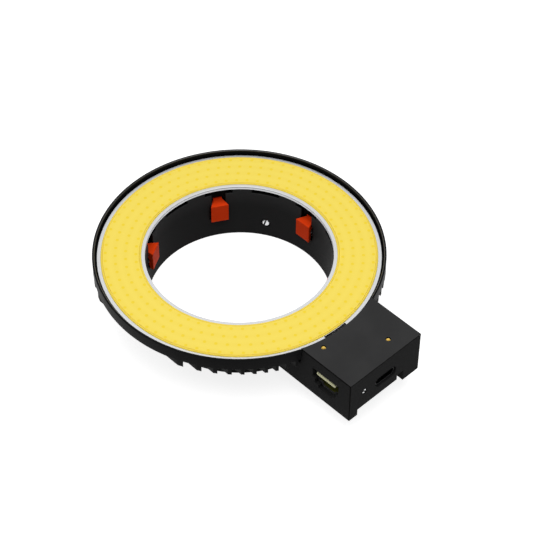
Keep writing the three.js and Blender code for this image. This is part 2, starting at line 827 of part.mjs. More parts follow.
// Every opening in the box's walls
function boxCutouts() {
  const channel = block(
    [box_inner_reach - cut_overrun, channel_left_edge, box_bottom_height - cut_overrun],
    [box_end_reach + cut_overrun, channel_right_edge, channel_top],
  );
  const pry_notch = block(
    [box_inside_end - cut_overrun, channel_right_edge - pry_notch_width, channel_top - cut_overrun],
    [box_end_reach + cut_overrun, channel_right_edge, channel_top + pry_notch_height],
  );
  const jack_mouth = jackProfile(0, -box_half_width - cut_overrun, -box_inside_half_width + cut_overrun);
  const usb_corner = usb_slot_height * slot_corner_share;
  const usb_outline = roundedRectangle(
    usb_centre_offset, usb_centre_height, usb_slot_width, usb_slot_height, usb_corner);
  const usb_slot = barAlongX(usb_outline, box_inside_end - cut_overrun, box_end_reach + cut_overrun);
  const screw_radius = end_screw_radius + fit_gap;
  const screw_hole = rod(screw_radius, box_inside_end - cut_overrun, box_end_reach + cut_overrun)
    .translate([0, end_screw_offset, end_screw_height]);
  const pipe_hole = disc(light_pipe_radius + pin_gap, lid_bottom - cut_overrun, rim_top + cut_overrun);
  const pipe_holes = Object.values(light_pipe_places).map(({ reach, offset }) =>
    pipe_hole.translate([reach, offset, 0]));
  const roof_hole = disc(
    screw_shank_radius + fit_gap, roof_bottom - cut_overrun, roof_top + cut_overrun, hole_steps);
  const roof_holes = [-housing_screw_offset, housing_screw_offset].map((offset) =>
    roof_hole.translate([housing_screw_reach, offset, 0]));
  const lead_port = block(
    [0, lead_centre - lead_spacing, lid_bottom - lead_port_height],
    [rim_inner_radius + box_arc_wall + cut_overrun, lead_centre + lead_spacing, lid_bottom],
  );
  return [pry_notch, jack_mouth, usb_slot, screw_hole, lead_port, ...pipe_holes, ...roof_holes]
    .reduce((all, next) => all.add(next), channel);
}

// The stepped mouth of the jack, wide above and narrow below, made a little smaller by margin
function jackProfile(margin, from, to) {
  const wide = jack_mouth_width / 2 - margin;
  const throat = jack_throat_width / 2 - margin;
  const tab = jack_tab_width / 2 - margin;
  const middle = jack_centre_reach;
  return barAlongY([
    [middle - wide, jack_mouth_step + margin],
    [middle - throat, jack_mouth_step + margin],
    [middle - throat, jack_throat_bottom + margin],
    [middle - tab, jack_throat_bottom + margin],
    [middle - tab, jack_tab_bottom + margin],
    [middle + tab, jack_tab_bottom + margin],
    [middle + tab, jack_throat_bottom + margin],
    [middle + throat, jack_throat_bottom + margin],
    [middle + throat, jack_mouth_step + margin],
    [middle + wide, jack_mouth_step + margin],
    [middle + wide, jack_mouth_top - margin],
    [middle - wide, jack_mouth_top - margin],
  ], from, to);
}

// The jack's moulded body with its cavity
function jackBody() {
  const half = jack_body_width / 2;
  const cavity_back = jack_front + jack_cavity_depth;
  const body = block(
    [jack_centre_reach - half, jack_front, jack_body_bottom],
    [jack_centre_reach + half, jack_back, jack_body_top],
  );
  return body.subtract(jackProfile(jack_mouth_setback, jack_front - cut_overrun, cavity_back));
}

// Eight bent contacts behind one carrier bar, which shows in the jack's mouth
function jackContacts() {
  const bar_front = contact_bar_setback - box_half_width;
  const bar_back = bar_front + contact_bar_depth;
  const bar_top = jack_mouth_top - contact_bar_drop;
  const bar_bottom = bar_top - contact_bar_height;
  const bar_outline = [
    [jack_centre_reach - contact_bar_width / 2, bar_bottom],
    [jack_centre_reach + contact_bar_width / 2, bar_bottom],
    [jack_centre_reach + contact_bar_width / 2, bar_top],
    [jack_centre_reach - contact_bar_width / 2, bar_top],
  ];
  const front = jack_front + fit_gap;
  const top = jack_mouth_top - jack_mouth_setback - fit_gap;
  const low = top - contact_drop;
  const bend = front + contact_bend_reach;
  const root = (bar_bottom + bar_top) / 2;
  const wires = Array.from({ length: contact_count }, (_, i) => {
    const middle = jack_centre_reach + (i - (contact_count - 1) / 2) * contact_pitch;
    return barAlongX([
      [bar_back - contact_thickness, root],
      [bar_back, root - contact_thickness],
      [bend, top - contact_thickness],
      [front + contact_reach, low],
      [front + contact_reach, low + contact_thickness],
      [bend, top],
    ], middle - contact_width / 2, middle + contact_width / 2);
  });
  return wires.reduce((all, next) => all.add(next), barAlongY(bar_outline, bar_front, bar_back));
}

// The steel shell of the USB socket
function usbShell() {
  const mouth = box_end_reach - usb_shell_setback;
  const back = mouth - usb_shell_length;
  const corner = usb_shell_height * shell_corner_share;
  const outer = roundedRectangle(
    usb_centre_offset, usb_centre_height, usb_shell_width, usb_shell_height, corner);
  const inner = roundedRectangle(
    usb_centre_offset,
    usb_centre_height,
    usb_shell_width - usb_shell_wall * 2,
    usb_shell_height - usb_shell_wall * 2,
    corner - usb_shell_wall,
  );
  return barAlongX(outer, back, mouth).subtract(barAlongX(inner, back + usb_shell_wall, mouth + cut_overrun));
}

// The contact tongue in the middle of the USB shell, on its root block
function usbTongue() {
  const back = box_end_reach - usb_shell_setback - usb_shell_length + usb_shell_wall + fit_gap;
  const inner_width = usb_shell_width - (usb_shell_wall + fit_gap) * 2;
  const inner_height = usb_shell_height - (usb_shell_wall + fit_gap) * 2;
  const root_outline = roundedRectangle(
    usb_centre_offset, usb_centre_height, inner_width, inner_height, inner_height * shell_corner_share);
  const root = barAlongX(root_outline, back, back + usb_root_length);
  const [half_width, half_height] = [usb_tongue_width / 2, usb_tongue_thickness / 2];
  const tongue = block(
    [back, usb_centre_offset - half_width, usb_centre_height - half_height],
    [back + usb_tongue_length, usb_centre_offset + half_width, usb_centre_height + half_height],
  );
  return root.add(tongue);
}

// The plate that closes the box from below, between the runners
function baseCover() {
  const low = [box_inner_reach + box_end_wall + seat_gap, channel_left_edge + seat_gap, channel_top];
  const high = [box_inside_end - seat_gap, channel_right_edge - seat_gap, cover_top];
  const hole = disc(
    screw_shank_radius + fit_gap, channel_top - cut_overrun, cover_top + cut_overrun, hole_steps);
  const holes = coverScrewPlaces().map(({ reach, offset }) => hole.translate([reach, offset, 0]));
  return holes.reduce((all, next) => all.subtract(next), block(low, high));
}

// The circuit board, with a narrow tongue under the lamp head and a cut-out for the jack
function circuitBoard() {
  const far = box_inside_end - circuit_margin;
  const side = box_inside_half_width - circuit_margin;
  const shoulder = jack_centre_reach - jack_body_width / 2 - circuit_margin;
  const beside_jack = jack_back + circuit_jack_gap;
  return slab([
    [circuit_tongue_reach, -circuit_tongue_half_width],
    [shoulder, -circuit_tongue_half_width],
    [shoulder, beside_jack],
    [far, beside_jack],
    [far, side],
    [shoulder, side],
    [shoulder, circuit_tongue_half_width],
    [circuit_tongue_reach, circuit_tongue_half_width],
  ], circuit_bottom, circuit_top_height);
}

// The board's square power inductor, near the box's end
function powerInductor() {
  const outline = roundedRectangle(
    inductor_reach, component_row - inductor_size / 2, inductor_size, inductor_size, inductor_corner);
  return slab(outline, circuit_top_height, circuit_top_height + inductor_height);
}

// The can capacitor on its square base, beside the inductor
function filterCapacitor() {
  const reach = inductor_reach - inductor_size / 2 - component_spacing - capacitor_radius;
  const offset = component_row - capacitor_radius;
  const base = block(
    [reach - capacitor_radius, offset - capacitor_radius, circuit_top_height],
    [reach + capacitor_radius, offset + capacitor_radius, circuit_top_height + capacitor_base_height],
  );
  const can_radius = capacitor_radius - capacitor_crimp_depth;
  const low = circuit_top_height + capacitor_base_height / 2;
  const crimp = circuit_top_height + capacitor_crimp_height;
  const top = circuit_top_height + capacitor_height;
  const can = turned([
    [0, low],
    [can_radius, low],
    [can_radius, crimp - capacitor_crimp_depth],
    [can_radius - capacitor_crimp_depth, crimp],
    [can_radius, crimp + capacitor_crimp_depth],
    [can_radius, top],
    [0, top],
  ], small_turn_steps).translate([reach, offset, 0]);
  return base.add(can);
}

// The chip that drives the light, on the board's tongue
function controllerChip() {
  const reach = circuit_tongue_reach + component_spacing + controller_size / 2;
  const outline = roundedRectangle(reach, 0, controller_size, controller_size, controller_corner);
  return slab(outline, circuit_top_height, circuit_top_height + controller_height);
}

// The two-way terminal block that the leads plug into from above
function terminalBlock() {
  const [low, high] = terminalSpan();
  const body = block(low, high);
  const mouths = leadOffsets().map((offset) =>
    disc(terminal_mouth_radius, high[2] - terminal_mouth_depth, high[2] + cut_overrun)
      .translate([(low[0] + high[0]) / 2, offset, 0]));
  return mouths.reduce((all, next) => all.subtract(next), body);
}

// Lowest and highest corner of the terminal block
function terminalSpan() {
  const near = rim_inner_radius + box_arc_wall + component_spacing;
  const side = lead_centre - terminal_width / 2;
  const low = [near, side, circuit_top_height];
  const high = [near + terminal_length, side + terminal_width, circuit_top_height + terminal_height];
  return [low, high];
}

// Places of the two leads across the box
function leadOffsets() {
  return [-lead_spacing / 2, lead_spacing / 2].map((shift) => lead_centre + shift);
}

// A lead up from the terminal block, over the wall and in to the edge of the light board
function lead(offset) {
  const [low, high] = terminalSpan();
  const reach = (low[0] + high[0]) / 2;
  const height = lid_bottom - lead_radius * 2;
  const end = Math.sqrt(board_outer_radius ** 2 - offset ** 2) - lead_notch_depth + seat_gap;
  const route = new THREE.CurvePath();
  const start = new THREE.Vector3(reach, offset, high[2] - lead_seat_depth);
  const bend_start = new THREE.Vector3(reach, offset, height - lead_bend);
  const corner = new THREE.Vector3(reach, offset, height);
  const bend_end = new THREE.Vector3(reach - lead_bend, offset, height);
  route.add(new THREE.LineCurve3(start, bend_start));
  route.add(new THREE.QuadraticBezierCurve3(bend_start, corner, bend_end));
  route.add(new THREE.LineCurve3(bend_end, new THREE.Vector3(end, offset, height)));
  const section = new THREE.Shape();
  section.absarc(0, 0, lead_radius, 0, Math.PI * 2, false);
  const options = { steps: lead_steps, extrudePath: route, curveSegments: lead_sides };
  return solidOf(new THREE.ExtrudeGeometry(section, options));
}

// A light pipe, flush with the lid
function lightPipe(reach, offset) {
  return disc(light_pipe_radius, rim_top - light_pipe_length, rim_top).translate([reach, offset, 0]);
}

// The small screw in the box's end face
function endScrew() {
  const out = box_end_reach - end_screw_setback;
  const slot = block(
    [out - end_screw_slot_depth, -end_screw_radius - cut_overrun, -end_screw_slot_width / 2],
    [out + cut_overrun, end_screw_radius + cut_overrun, end_screw_slot_width / 2],
  );
  return rod(end_screw_radius, out - end_screw_length, out)
    .subtract(slot)
    .translate([0, end_screw_offset, end_screw_height]);
}

// Lamp head
addPiece('finned_heat_sink', heatSink(), black_anodised);
addPiece('mounting_collar', mountingCollar(), black_anodised);
addPiece('thermal_pad', ring(head_bore_radius + seat_gap, board_outer_radius, plate_top, board_bottom)
  .subtract(leadNotch()), grey_silicone);
addPiece('light_board', lightBoard(), bare_aluminium);
const dam_top = light_face_height + dam_height;
addPiece('inner_dam', ring(
  phosphor_inner_radius, phosphor_inner_radius + dam_width, light_face_height, dam_top), dam_yellow);
addPiece('outer_dam', ring(
  phosphor_outer_radius - dam_width, phosphor_outer_radius, light_face_height, dam_top), dam_yellow);
addPiece('phosphor_layer', ring(
  phosphor_inner_radius + dam_width + fit_gap,
  phosphor_outer_radius - dam_width - fit_gap,
  light_face_height,
  light_face_height + phosphor_height,
), phosphor_yellow);

// Screws that hold the collar's flange under the fins
flange_screw_angles.forEach((angle, i) => {
  const shape = capScrew(flange_thickness + screw_bite);
  const screw = addPiece(`collar_screw_${i + 1}`, shape, polished_steel);
  const turn = THREE.MathUtils.degToRad(angle);
  screw.position.set(Math.cos(turn), Math.sin(turn), 0).multiplyScalar(flange_screw_radius);
  screw.position.z = flange_bottom;
});

// Latches, each with its pin and spring
evenAngles(latch_count, latch_first_angle).forEach((angle, i) => {
  const station = new THREE.Group();
  station.rotation.z = THREE.MathUtils.degToRad(angle);
  addPiece(`latch_${i + 1}`, springLatch(), latch_red, station);
  addPiece(`latch_pin_${i + 1}`, pinRod(latch_pin_radius, latch_pin_length / 2), polished_steel, station);
  addPiece(`latch_spring_${i + 1}`, latchSpring(), spring_steel, station);
  ring_light.add(station);
});

// Clamp screws
evenAngles(clamp_count).forEach((angle, i) => {
  const screw = addPiece(`clamp_screw_${i + 1}`, clampScrew(), polished_steel);
  screw.rotation.z = THREE.MathUtils.degToRad(angle);
});

// Electronics box
addPiece('electronics_box', boxShell(), black_plastic);
addPiece('base_cover', baseCover(), black_plastic);
coverScrewPlaces().forEach(({ reach, offset }, i) => {
  const shape = capScrew(cover_thickness + cover_screw_bite);
  const screw = addPiece(`cover_screw_${i + 1}`, shape, polished_steel);
  screw.position.set(reach, offset, channel_top);
});
[-housing_screw_offset, housing_screw_offset].forEach((offset, i) => {
  const shape = capScrew(box_lid_thickness + screw_bite);
  const screw = addPiece(`box_screw_${i + 1}`, shape, polished_steel);
  screw.position.set(housing_screw_reach, offset, roof_bottom);
});
addPiece('end_screw', endScrew(), polished_steel);
Object.entries(light_pipe_places).forEach(([name, { reach, offset }]) => {
  addPiece(name, lightPipe(reach, offset), amber_clear);
});

// Electronics
addPiece('circuit_board', circuitBoard(), green_laminate);
addPiece('modular_jack', jackBody(), dark_plastic);
addPiece('jack_contacts', jackContacts(), gold_plate);
addPiece('usb_shell', usbShell(), polished_steel);
addPiece('usb_tongue', usbTongue(), dark_plastic);
addPiece('terminal_block', terminalBlock(), dark_plastic);
addPiece('power_inductor', powerInductor(), dark_plastic);
addPiece('filter_capacitor', filterCapacitor(), bare_aluminium);
addPiece('controller_chip', controllerChip(), dark_plastic);

// Leads between the circuit board and the light board
leadOffsets().forEach((offset, i) => {
  addPiece(`lead_${i + 1}`, lead(offset), lead_black);
});

export default ring_light;
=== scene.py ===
import math
import bmesh
import bpy
from mathutils import Matrix, Vector


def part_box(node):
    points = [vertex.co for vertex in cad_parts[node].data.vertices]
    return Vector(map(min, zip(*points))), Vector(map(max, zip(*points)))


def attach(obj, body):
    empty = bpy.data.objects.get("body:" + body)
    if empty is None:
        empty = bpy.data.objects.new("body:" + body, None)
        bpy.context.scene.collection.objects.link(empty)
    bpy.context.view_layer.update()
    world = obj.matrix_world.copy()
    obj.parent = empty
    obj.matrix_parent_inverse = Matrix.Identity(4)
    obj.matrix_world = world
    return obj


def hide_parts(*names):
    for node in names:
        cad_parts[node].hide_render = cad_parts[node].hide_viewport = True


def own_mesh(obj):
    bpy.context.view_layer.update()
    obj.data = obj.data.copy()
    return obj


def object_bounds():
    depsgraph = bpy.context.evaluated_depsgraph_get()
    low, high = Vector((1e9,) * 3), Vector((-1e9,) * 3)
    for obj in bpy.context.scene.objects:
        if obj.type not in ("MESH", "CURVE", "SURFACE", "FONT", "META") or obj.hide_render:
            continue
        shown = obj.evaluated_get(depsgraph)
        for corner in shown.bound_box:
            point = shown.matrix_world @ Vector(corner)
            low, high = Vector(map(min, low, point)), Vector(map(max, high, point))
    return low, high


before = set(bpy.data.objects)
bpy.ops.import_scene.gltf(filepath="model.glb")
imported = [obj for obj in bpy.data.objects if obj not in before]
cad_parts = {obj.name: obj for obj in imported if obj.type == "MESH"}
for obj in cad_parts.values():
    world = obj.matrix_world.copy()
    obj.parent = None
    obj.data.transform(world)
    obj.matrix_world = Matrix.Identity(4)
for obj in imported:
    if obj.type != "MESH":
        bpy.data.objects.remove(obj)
cad_low, cad_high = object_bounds()


# Camera.
# A long lens looks down at the light face from the side of the box, a little above half height.
# The image is square, 533 pixels wide, and the lens is given in those pixels.
image_width = 533
pixel_centre = 0.5
focal_pixels = 1812.3067
view_azimuth = math.radians(45.87)
view_elevation = math.radians(46.334)
view_roll = -0.00582
view_distance = 0.63275
light_face_height = 0.0238
aim_right, aim_up = 0.009657, -0.005129

lens = bpy.data.cameras.new("product_camera")
lens.sensor_width = 36
lens.lens = lens.sensor_width * focal_pixels / image_width
lens.shift_x, lens.shift_y = -pixel_centre / image_width, pixel_centre / image_width
lens.clip_start, lens.clip_end = 0.01, 20
camera = bpy.data.objects.new("product_camera", lens)
bpy.context.scene.collection.objects.link(camera)
bpy.context.scene.camera = camera

turn_cos, turn_sin = math.cos(view_azimuth), math.sin(view_azimuth)
rise_cos, rise_sin = math.cos(view_elevation), math.sin(view_elevation)
level_right = Vector((turn_cos, turn_sin, 0))
level_up = Vector((-turn_sin * rise_sin, turn_cos * rise_sin, rise_cos))
backwards = Vector((turn_sin * rise_cos, -turn_cos * rise_cos, rise_sin))
place = Vector((0, 0, light_face_height)) + backwards * view_distance
place += level_right * aim_right + level_up * aim_up
rolled_right = level_right * math.cos(view_roll) - level_up * math.sin(view_roll)
rolled_up = level_right * math.sin(view_roll) + level_up * math.cos(view_roll)
axes = Matrix((rolled_right, rolled_up, backwards)).transposed()
camera.matrix_world = Matrix.Translation(place) @ axes.to_4x4()


# Studio.
# A white table and backdrop under one large soft lamp from above and two weak ones at the sides, so
# that black mouldings keep their edges. Only the table's faint shadow under the light is left.
class Signal:
    """One output inside a finish. Sums and products on it add Math nodes."""

    def __init__(self, finish, socket):
        self.finish, self.socket = finish, socket

    def calculate(self, operation, *others):
        values = dict(enumerate((self, *others)))
        return self.finish.node("ShaderNodeMath", values, operation=operation)

    def __add__(self, other):
        return self.calculate("ADD", other)

    def __sub__(self, other):
        return self.calculate("SUBTRACT", other)

    def __mul__(self, other):
        return self.calculate("MULTIPLY", other)

    def __rsub__(self, other):
        return self.calculate("MULTIPLY_ADD", -1.0, other)

    __radd__ = __add__
    __rmul__ = __mul__

    def step(self, start, end, low=0.0, high=1.0):
        """Goes smoothly from low at start to high at end."""
        sockets = {"Value": self, "From Min": start, "From Max": end, "To Min": low, "To Max": high}
        return self.finish.node("ShaderNodeMapRange", sockets, interpolation_type="SMOOTHSTEP")


class Finish:
    """A material, built node by node round its Principled shader."""

    def __init__(self, name, **constants):
        self.material = bpy.data.materials.new(name)
        self.material.use_nodes = True
        self.tree = self.material.node_tree
        self.shader = self.tree.nodes["Principled BSDF"]
        for socket, value in constants.items():
            self.shader.inputs[socket.replace("_", " ")].default_value = value

    def node(self, kind, sockets=None, output=0, **settings):
        made = self.tree.nodes.new(kind)
        for name, value in settings.items():
            setattr(made, name, value)
        for name, value in (sockets or {}).items():
            self.feed(made.inputs[name], value)
        return Signal(self, made.outputs[output])

    def feed(self, socket, value):
        if isinstance(value, Signal):
            self.tree.links.new(value.socket, socket)
        else:
            socket.default_value = value

    def surface(self, **signals):
        for socket, value in signals.items():
            self.feed(self.shader.inputs[socket.replace("_", " ")], value)
        return self.material

    def place(self):
        return self.node("ShaderNodeTexCoord", output="Object")

    def part(self, axis):
        return self.node("ShaderNodeSeparateXYZ", {"Vector": self.place()}, output=axis)

    def reach(self):
        """Distance from the bore's axis."""
        across, along = self.part("X"), self.part("Y")
        return (across * across + along * along).calculate("SQRT")

    def noise(self, grains_per_metre, detail=2.0):
        sockets = {"Vector": self.place(), "Scale": grains_per_metre, "Detail": detail}
        return self.node("ShaderNodeTexNoise", sockets)

    def blend(self, amount, first, second):
        """A Mix node keeps one set of sockets per data type. For colours they are 0, 6, 7 and 2."""
        sockets = {0: amount, 6: first, 7: second}
        return self.node("ShaderNodeMix", sockets, output=2, data_type="RGBA")

    def bump(self, height, depth, strength=0.4):
        sockets = {"Height": height, "Distance": depth, "Strength": strength}
        return self.node("ShaderNodeBump", sockets)

    def grained(self, color, grains_per_metre, smoothest, roughest, relief=0.0, detail=2.0):
        """A surface whose fine grain varies its gloss and, where it has relief, its height."""
        grain = self.noise(grains_per_metre, detail)
        if relief:
            self.surface(Normal=self.bump(grain, relief))
        return self.surface(Base_Color=color, Roughness=grain.step(0.2, 0.8, smoothest, roughest))


paper_white, pure_white = (0.5, 0.5, 0.5, 1), (1, 1, 1, 1)
floor_reach = 3.0
floor_glow = 0.83

paper = Finish("paper_white")
rays = paper.tree.nodes.new("ShaderNodeLightPath")
paper_diffuse = paper.node("ShaderNodeBsdfDiffuse", {"Color": paper_white}, output="BSDF")
seen = Signal(paper, rays.outputs["Is Camera Ray"]) + Signal(paper, rays.outputs["Is Transmission Ray"])
seen = seen + Signal(paper, rays.outputs["Is Glossy Ray"])
paper_glow = paper.node(
    "ShaderNodeEmission", {"Color": pure_white, "Strength": seen * floor_glow}, output="Emission")
paper_sum = paper.node("ShaderNodeAddShader", {0: paper_diffuse, 1: paper_glow}, output="Shader")
paper.feed(paper.tree.nodes["Material Output"].inputs["Surface"], paper_sum)

floor_shape = bmesh.new()
bmesh.ops.create_grid(floor_shape, x_segments=1, y_segments=1, size=floor_reach)
floor_mesh = bpy.data.meshes.new("table_top")
floor_shape.to_mesh(floor_mesh)
floor_mesh.materials.append(paper.material)
floor = bpy.data.objects.new("table_top", floor_mesh)
bpy.context.scene.collection.objects.link(floor)

sky_strength = 0.22
sky = bpy.data.worlds.new("studio_air")
bpy.context.scene.world = sky
sky.use_nodes = True
sky_nodes, sky_links = sky.node_tree.nodes, sky.node_tree.links
sky_rays = sky_nodes.new("ShaderNodeLightPath")
sky_white = sky_rays.outputs["Is Camera Ray"]
for ray in ("Is Glossy Ray", "Is Transmission Ray"):
    either = sky_nodes.new("ShaderNodeMath")
    either.operation = "MAXIMUM"
    sky_links.new(sky_white, either.inputs[0])
    sky_links.new(sky_rays.outputs[ray], either.inputs[1])
    sky_white = either.outputs[0]
sky_level = sky_nodes.new("ShaderNodeMapRange")
sky_level.inputs["To Min"].default_value = sky_strength
sky_links.new(sky_white, sky_level.inputs["Value"])
sky_links.new(sky_level.outputs[0], sky_nodes["Background"].inputs["Strength"])
sky_nodes["Background"].inputs["Color"].default_value = pure_white


def soft_lamp(name, azimuth, elevation, distance, size, power):
    """A square lamp that looks at the middle of the object."""
    turn, rise = math.radians(azimuth), math.radians(elevation)
    towards = Vector((math.sin(turn) * math.cos(rise), -math.cos(turn) * math.cos(rise), math.sin(rise)))
    light = bpy.data.lights.new(name, "AREA")
    light.size, light.energy = size, power
    lamp = bpy.data.objects.new(name, light)
    lamp.location = (cad_low + cad_high) / 2 + towards * distance
    lamp.rotation_mode = "QUATERNION"
    lamp.rotation_quaternion = towards.to_track_quat("Z", "Y")
    bpy.context.scene.collection.objects.link(lamp)


soft_lamp("top_lamp", azimuth=40, elevation=82, distance=0.8, size=0.8, power=5.9)
soft_lamp("right_lamp", azimuth=110, elevation=35, distance=0.9, size=0.5, power=0.1)
soft_lamp("left_lamp", azimuth=-35, elevation=40, distance=0.9, size=0.4, power=0.25)

bpy.context.scene.view_settings.view_transform = "Standard"


# Lamp head.
# A black anodised aluminium cup that carries the light board and cools it. It is turned from a disc,
# its underside is milled across into parallel fins, and its rim is cut away for the box.
turn_steps, hole_turn_steps, small_turn_steps = 264, 40, 32
smallest_length = 1e-6
flat_angle = math.radians(0.4)
sharp_angle = math.radians(32)
room_share = 2.1
overrun = 0.001
seat_gap = 0.0003
fit_gap = 0.00015
pin_gap = 0.0001


def as_object(name, shape):
    """Makes a closed shape into an object whose faces point outwards."""
    bmesh.ops.remove_doubles(shape, verts=shape.verts, dist=smallest_length)
    bmesh.ops.recalc_face_normals(shape, faces=shape.faces)
    mesh = bpy.data.meshes.new(name)
    shape.to_mesh(mesh)
    shape.free()
    piece = bpy.data.objects.new(name, mesh)
    bpy.context.scene.collection.objects.link(piece)
    return piece


def turned(name, outline, steps=turn_steps):
    """A body of revolution about Z. An outline that starts on the axis also ends there."""
    shape = bmesh.new()
    points = [shape.verts.new((radius, 0, height)) for radius, height in outline]
    first = 1 if outline[0][0] == 0 else 0
    edges = [shape.edges.new((points[i - 1], points[i])) for i in range(first, len(points))]
    bmesh.ops.spin(
        shape, geom=points + edges, axis=(0, 0, 1), cent=(0, 0, 0),
        angle=2 * math.pi, steps=steps, use_merge=True)
    return as_object(name, shape)


def cylinder(name, radius, low, high, steps=hole_turn_steps):
    return turned(name, [(0, low), (radius, low), (radius, high), (0, high)], steps)


def prism(name, outline, low, high, along="Z"):
    """A flat outline drawn out along X, Y or Z."""

    def corner(u, v, w):
        return {"X": (w, u, v), "Y": (u, w, v), "Z": (u, v, w)}[along]

    shape = bmesh.new()
    near = [shape.verts.new(corner(u, v, low)) for u, v in outline]
    far = [shape.verts.new(corner(u, v, high)) for u, v in outline]
    shape.faces.new(near)
    shape.faces.new(far)
    for i in range(len(outline)):
        shape.faces.new((near[i - 1], near[i], far[i], far[i - 1]))
    return as_object(name, shape)


def block(name, low, high):
    outline = [(low[0], low[1]), (high[0], low[1]), (high[0], high[1]), (low[0], high[1])]
    return prism(name, outline, low[2], high[2])


def arc(middle, radius, start, end, steps):
    """Points along an arc, from one angle to another in degrees."""
    turns = [math.radians(start + (end - start) * i / steps) for i in range(steps + 1)]
    return [(middle[0] + radius * math.cos(t), middle[1] + radius * math.sin(t)) for t in turns]


def settle(piece):
    """Makes what the piece's modifiers show its own mesh."""
    graph = bpy.context.evaluated_depsgraph_get()
    mesh = bpy.data.meshes.new_from_object(piece.evaluated_get(graph), depsgraph=graph)
    piece.modifiers.clear()
    piece.data = mesh
    return piece


def in_order(piece):
    """Puts the faces in a fixed order, because a cut leaves them in another one each time."""
    shape = bmesh.new()
    corners = [shape.verts.new(vertex.co) for vertex in piece.data.vertices]
    faces = []
    for face in piece.data.polygons:
        around = list(face.vertices)
        first = around.index(min(around))
        faces.append(around[first:] + around[:first])
    for around in sorted(faces):
        shape.faces.new([corners[i] for i in around])
    shape.to_mesh(piece.data)
    shape.free()
    return piece


def combine(piece, tools, operation="DIFFERENCE"):
    """Cuts, joins or trims a piece by other shapes, which are used up."""
    for tool in tools:
        change = piece.modifiers.new(operation.lower(), "BOOLEAN")
        change.operation, change.object, change.solver = operation, tool, "MANIFOLD"
    settle(piece)
    for tool in tools:
        bpy.data.objects.remove(tool)
    return in_order(piece)


def turned_copies(tool, angles):
    """The tool itself, turned about the bore's axis to each angle in degrees."""
    copies = []
    for angle in angles:
        copy = tool.copy()
        copy.data = tool.data.copy()
        copy.data.transform(Matrix.Rotation(math.radians(angle), 4, "Z"))
        bpy.context.scene.collection.objects.link(copy)
        copies.append(copy)
    bpy.data.objects.remove(tool)
    return copies


def moved(tool, x, y, z=0.0):
    tool.data.transform(Matrix.Translation((x, y, z)))
    return tool


def uprights(radius, low, high, places):
    """A row of upright posts or holes."""
    return [moved(cylinder("upright", radius, low, high), x, y) for x, y in places]


def shade(piece, angle=sharp_angle):
    """Smooth shading, with a crease where two faces meet at more than an angle."""
    shape = bmesh.new()
    shape.from_mesh(piece.data)
    for face in shape.faces:
        face.smooth = True
    for edge in shape.edges:
        edge.smooth = edge.calc_face_angle(math.pi) < angle
    shape.to_mesh(piece.data)
    shape.free()
    return piece


def merge_flat(shape, **limits):
    bmesh.ops.dissolve_limit(
        shape, angle_limit=flat_angle, verts=shape.verts, edges=shape.edges, **limits)


def has_room(edge, width):
    """Whether the faces beside an edge reach at least this far from it."""
    for loop in edge.link_loops:
        start, end = loop.vert.co, loop.link_loop_next.vert.co
        inward = loop.face.normal.cross(end - start).normalized() * width
        for share in (0.25, 0.5, 0.75):
            if not bmesh.geometry.intersect_face_point(loop.face, start.lerp(end, share) + inward):
                return False
    return True


def soften(piece, width, segments=2, sections=()):
    """Rounds the sharp edges by a small radius, as tumbling or a mould does, where the faces have room
    for it. Flat faces with holes are divided at the sections, each a point on a plane and its normal."""
    shape = bmesh.new()
    shape.from_mesh(piece.data)
    merge_flat(shape)
    for point, normal in sections:
        cut = bmesh.ops.bisect_plane(
            shape, geom=shape.verts[:] + shape.edges[:] + shape.faces[:], dist=smallest_length,
            plane_co=point, plane_no=normal)
        for part in cut["geom_cut"]:
            if isinstance(part, bmesh.types.BMEdge):
                part.seam = True
    merge_flat(shape, delimit={"SEAM"})
    weight = shape.edges.layers.float.new("bevel_weight_edge")
    for edge in shape.edges:
        sharp = edge.calc_face_angle(0) > sharp_angle
        edge[weight] = float(sharp and has_room(edge, room_share * width))
    shape.to_mesh(piece.data)
    shape.free()
    shade(piece)
    rounding = piece.modifiers.new("rounding", "BEVEL")
    rounding.width, rounding.segments = width, segments
    rounding.limit_method = "WEIGHT"
    rounding.use_clamp_overlap = False
    rounding.harden_normals = True
    return settle(piece)


def sectors(count, first=0.0):
    """Planes through the bore's axis, evenly spaced over half a turn."""
    turns = [math.radians(first + 180 * i / count) for i in range(count)]
    return [((0, 0, 0), (math.cos(t), math.sin(t), 0)) for t in turns]


def slices(axis, *places):
    """Planes across X or Y at these places."""
    normal = (1, 0, 0) if axis == "X" else (0, 1, 0)
    return [(tuple(place * part for part in normal), normal) for place in places]


def mount(piece, body, slot_name, material, *nodes):
    """Gives a piece its finish and body, and hides the CAD nodes that it stands for."""
    if material:
        piece.data.materials.clear()
        piece.data.materials.append(material)
    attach(piece, body)
    if nodes:
        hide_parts(*nodes)
    return piece


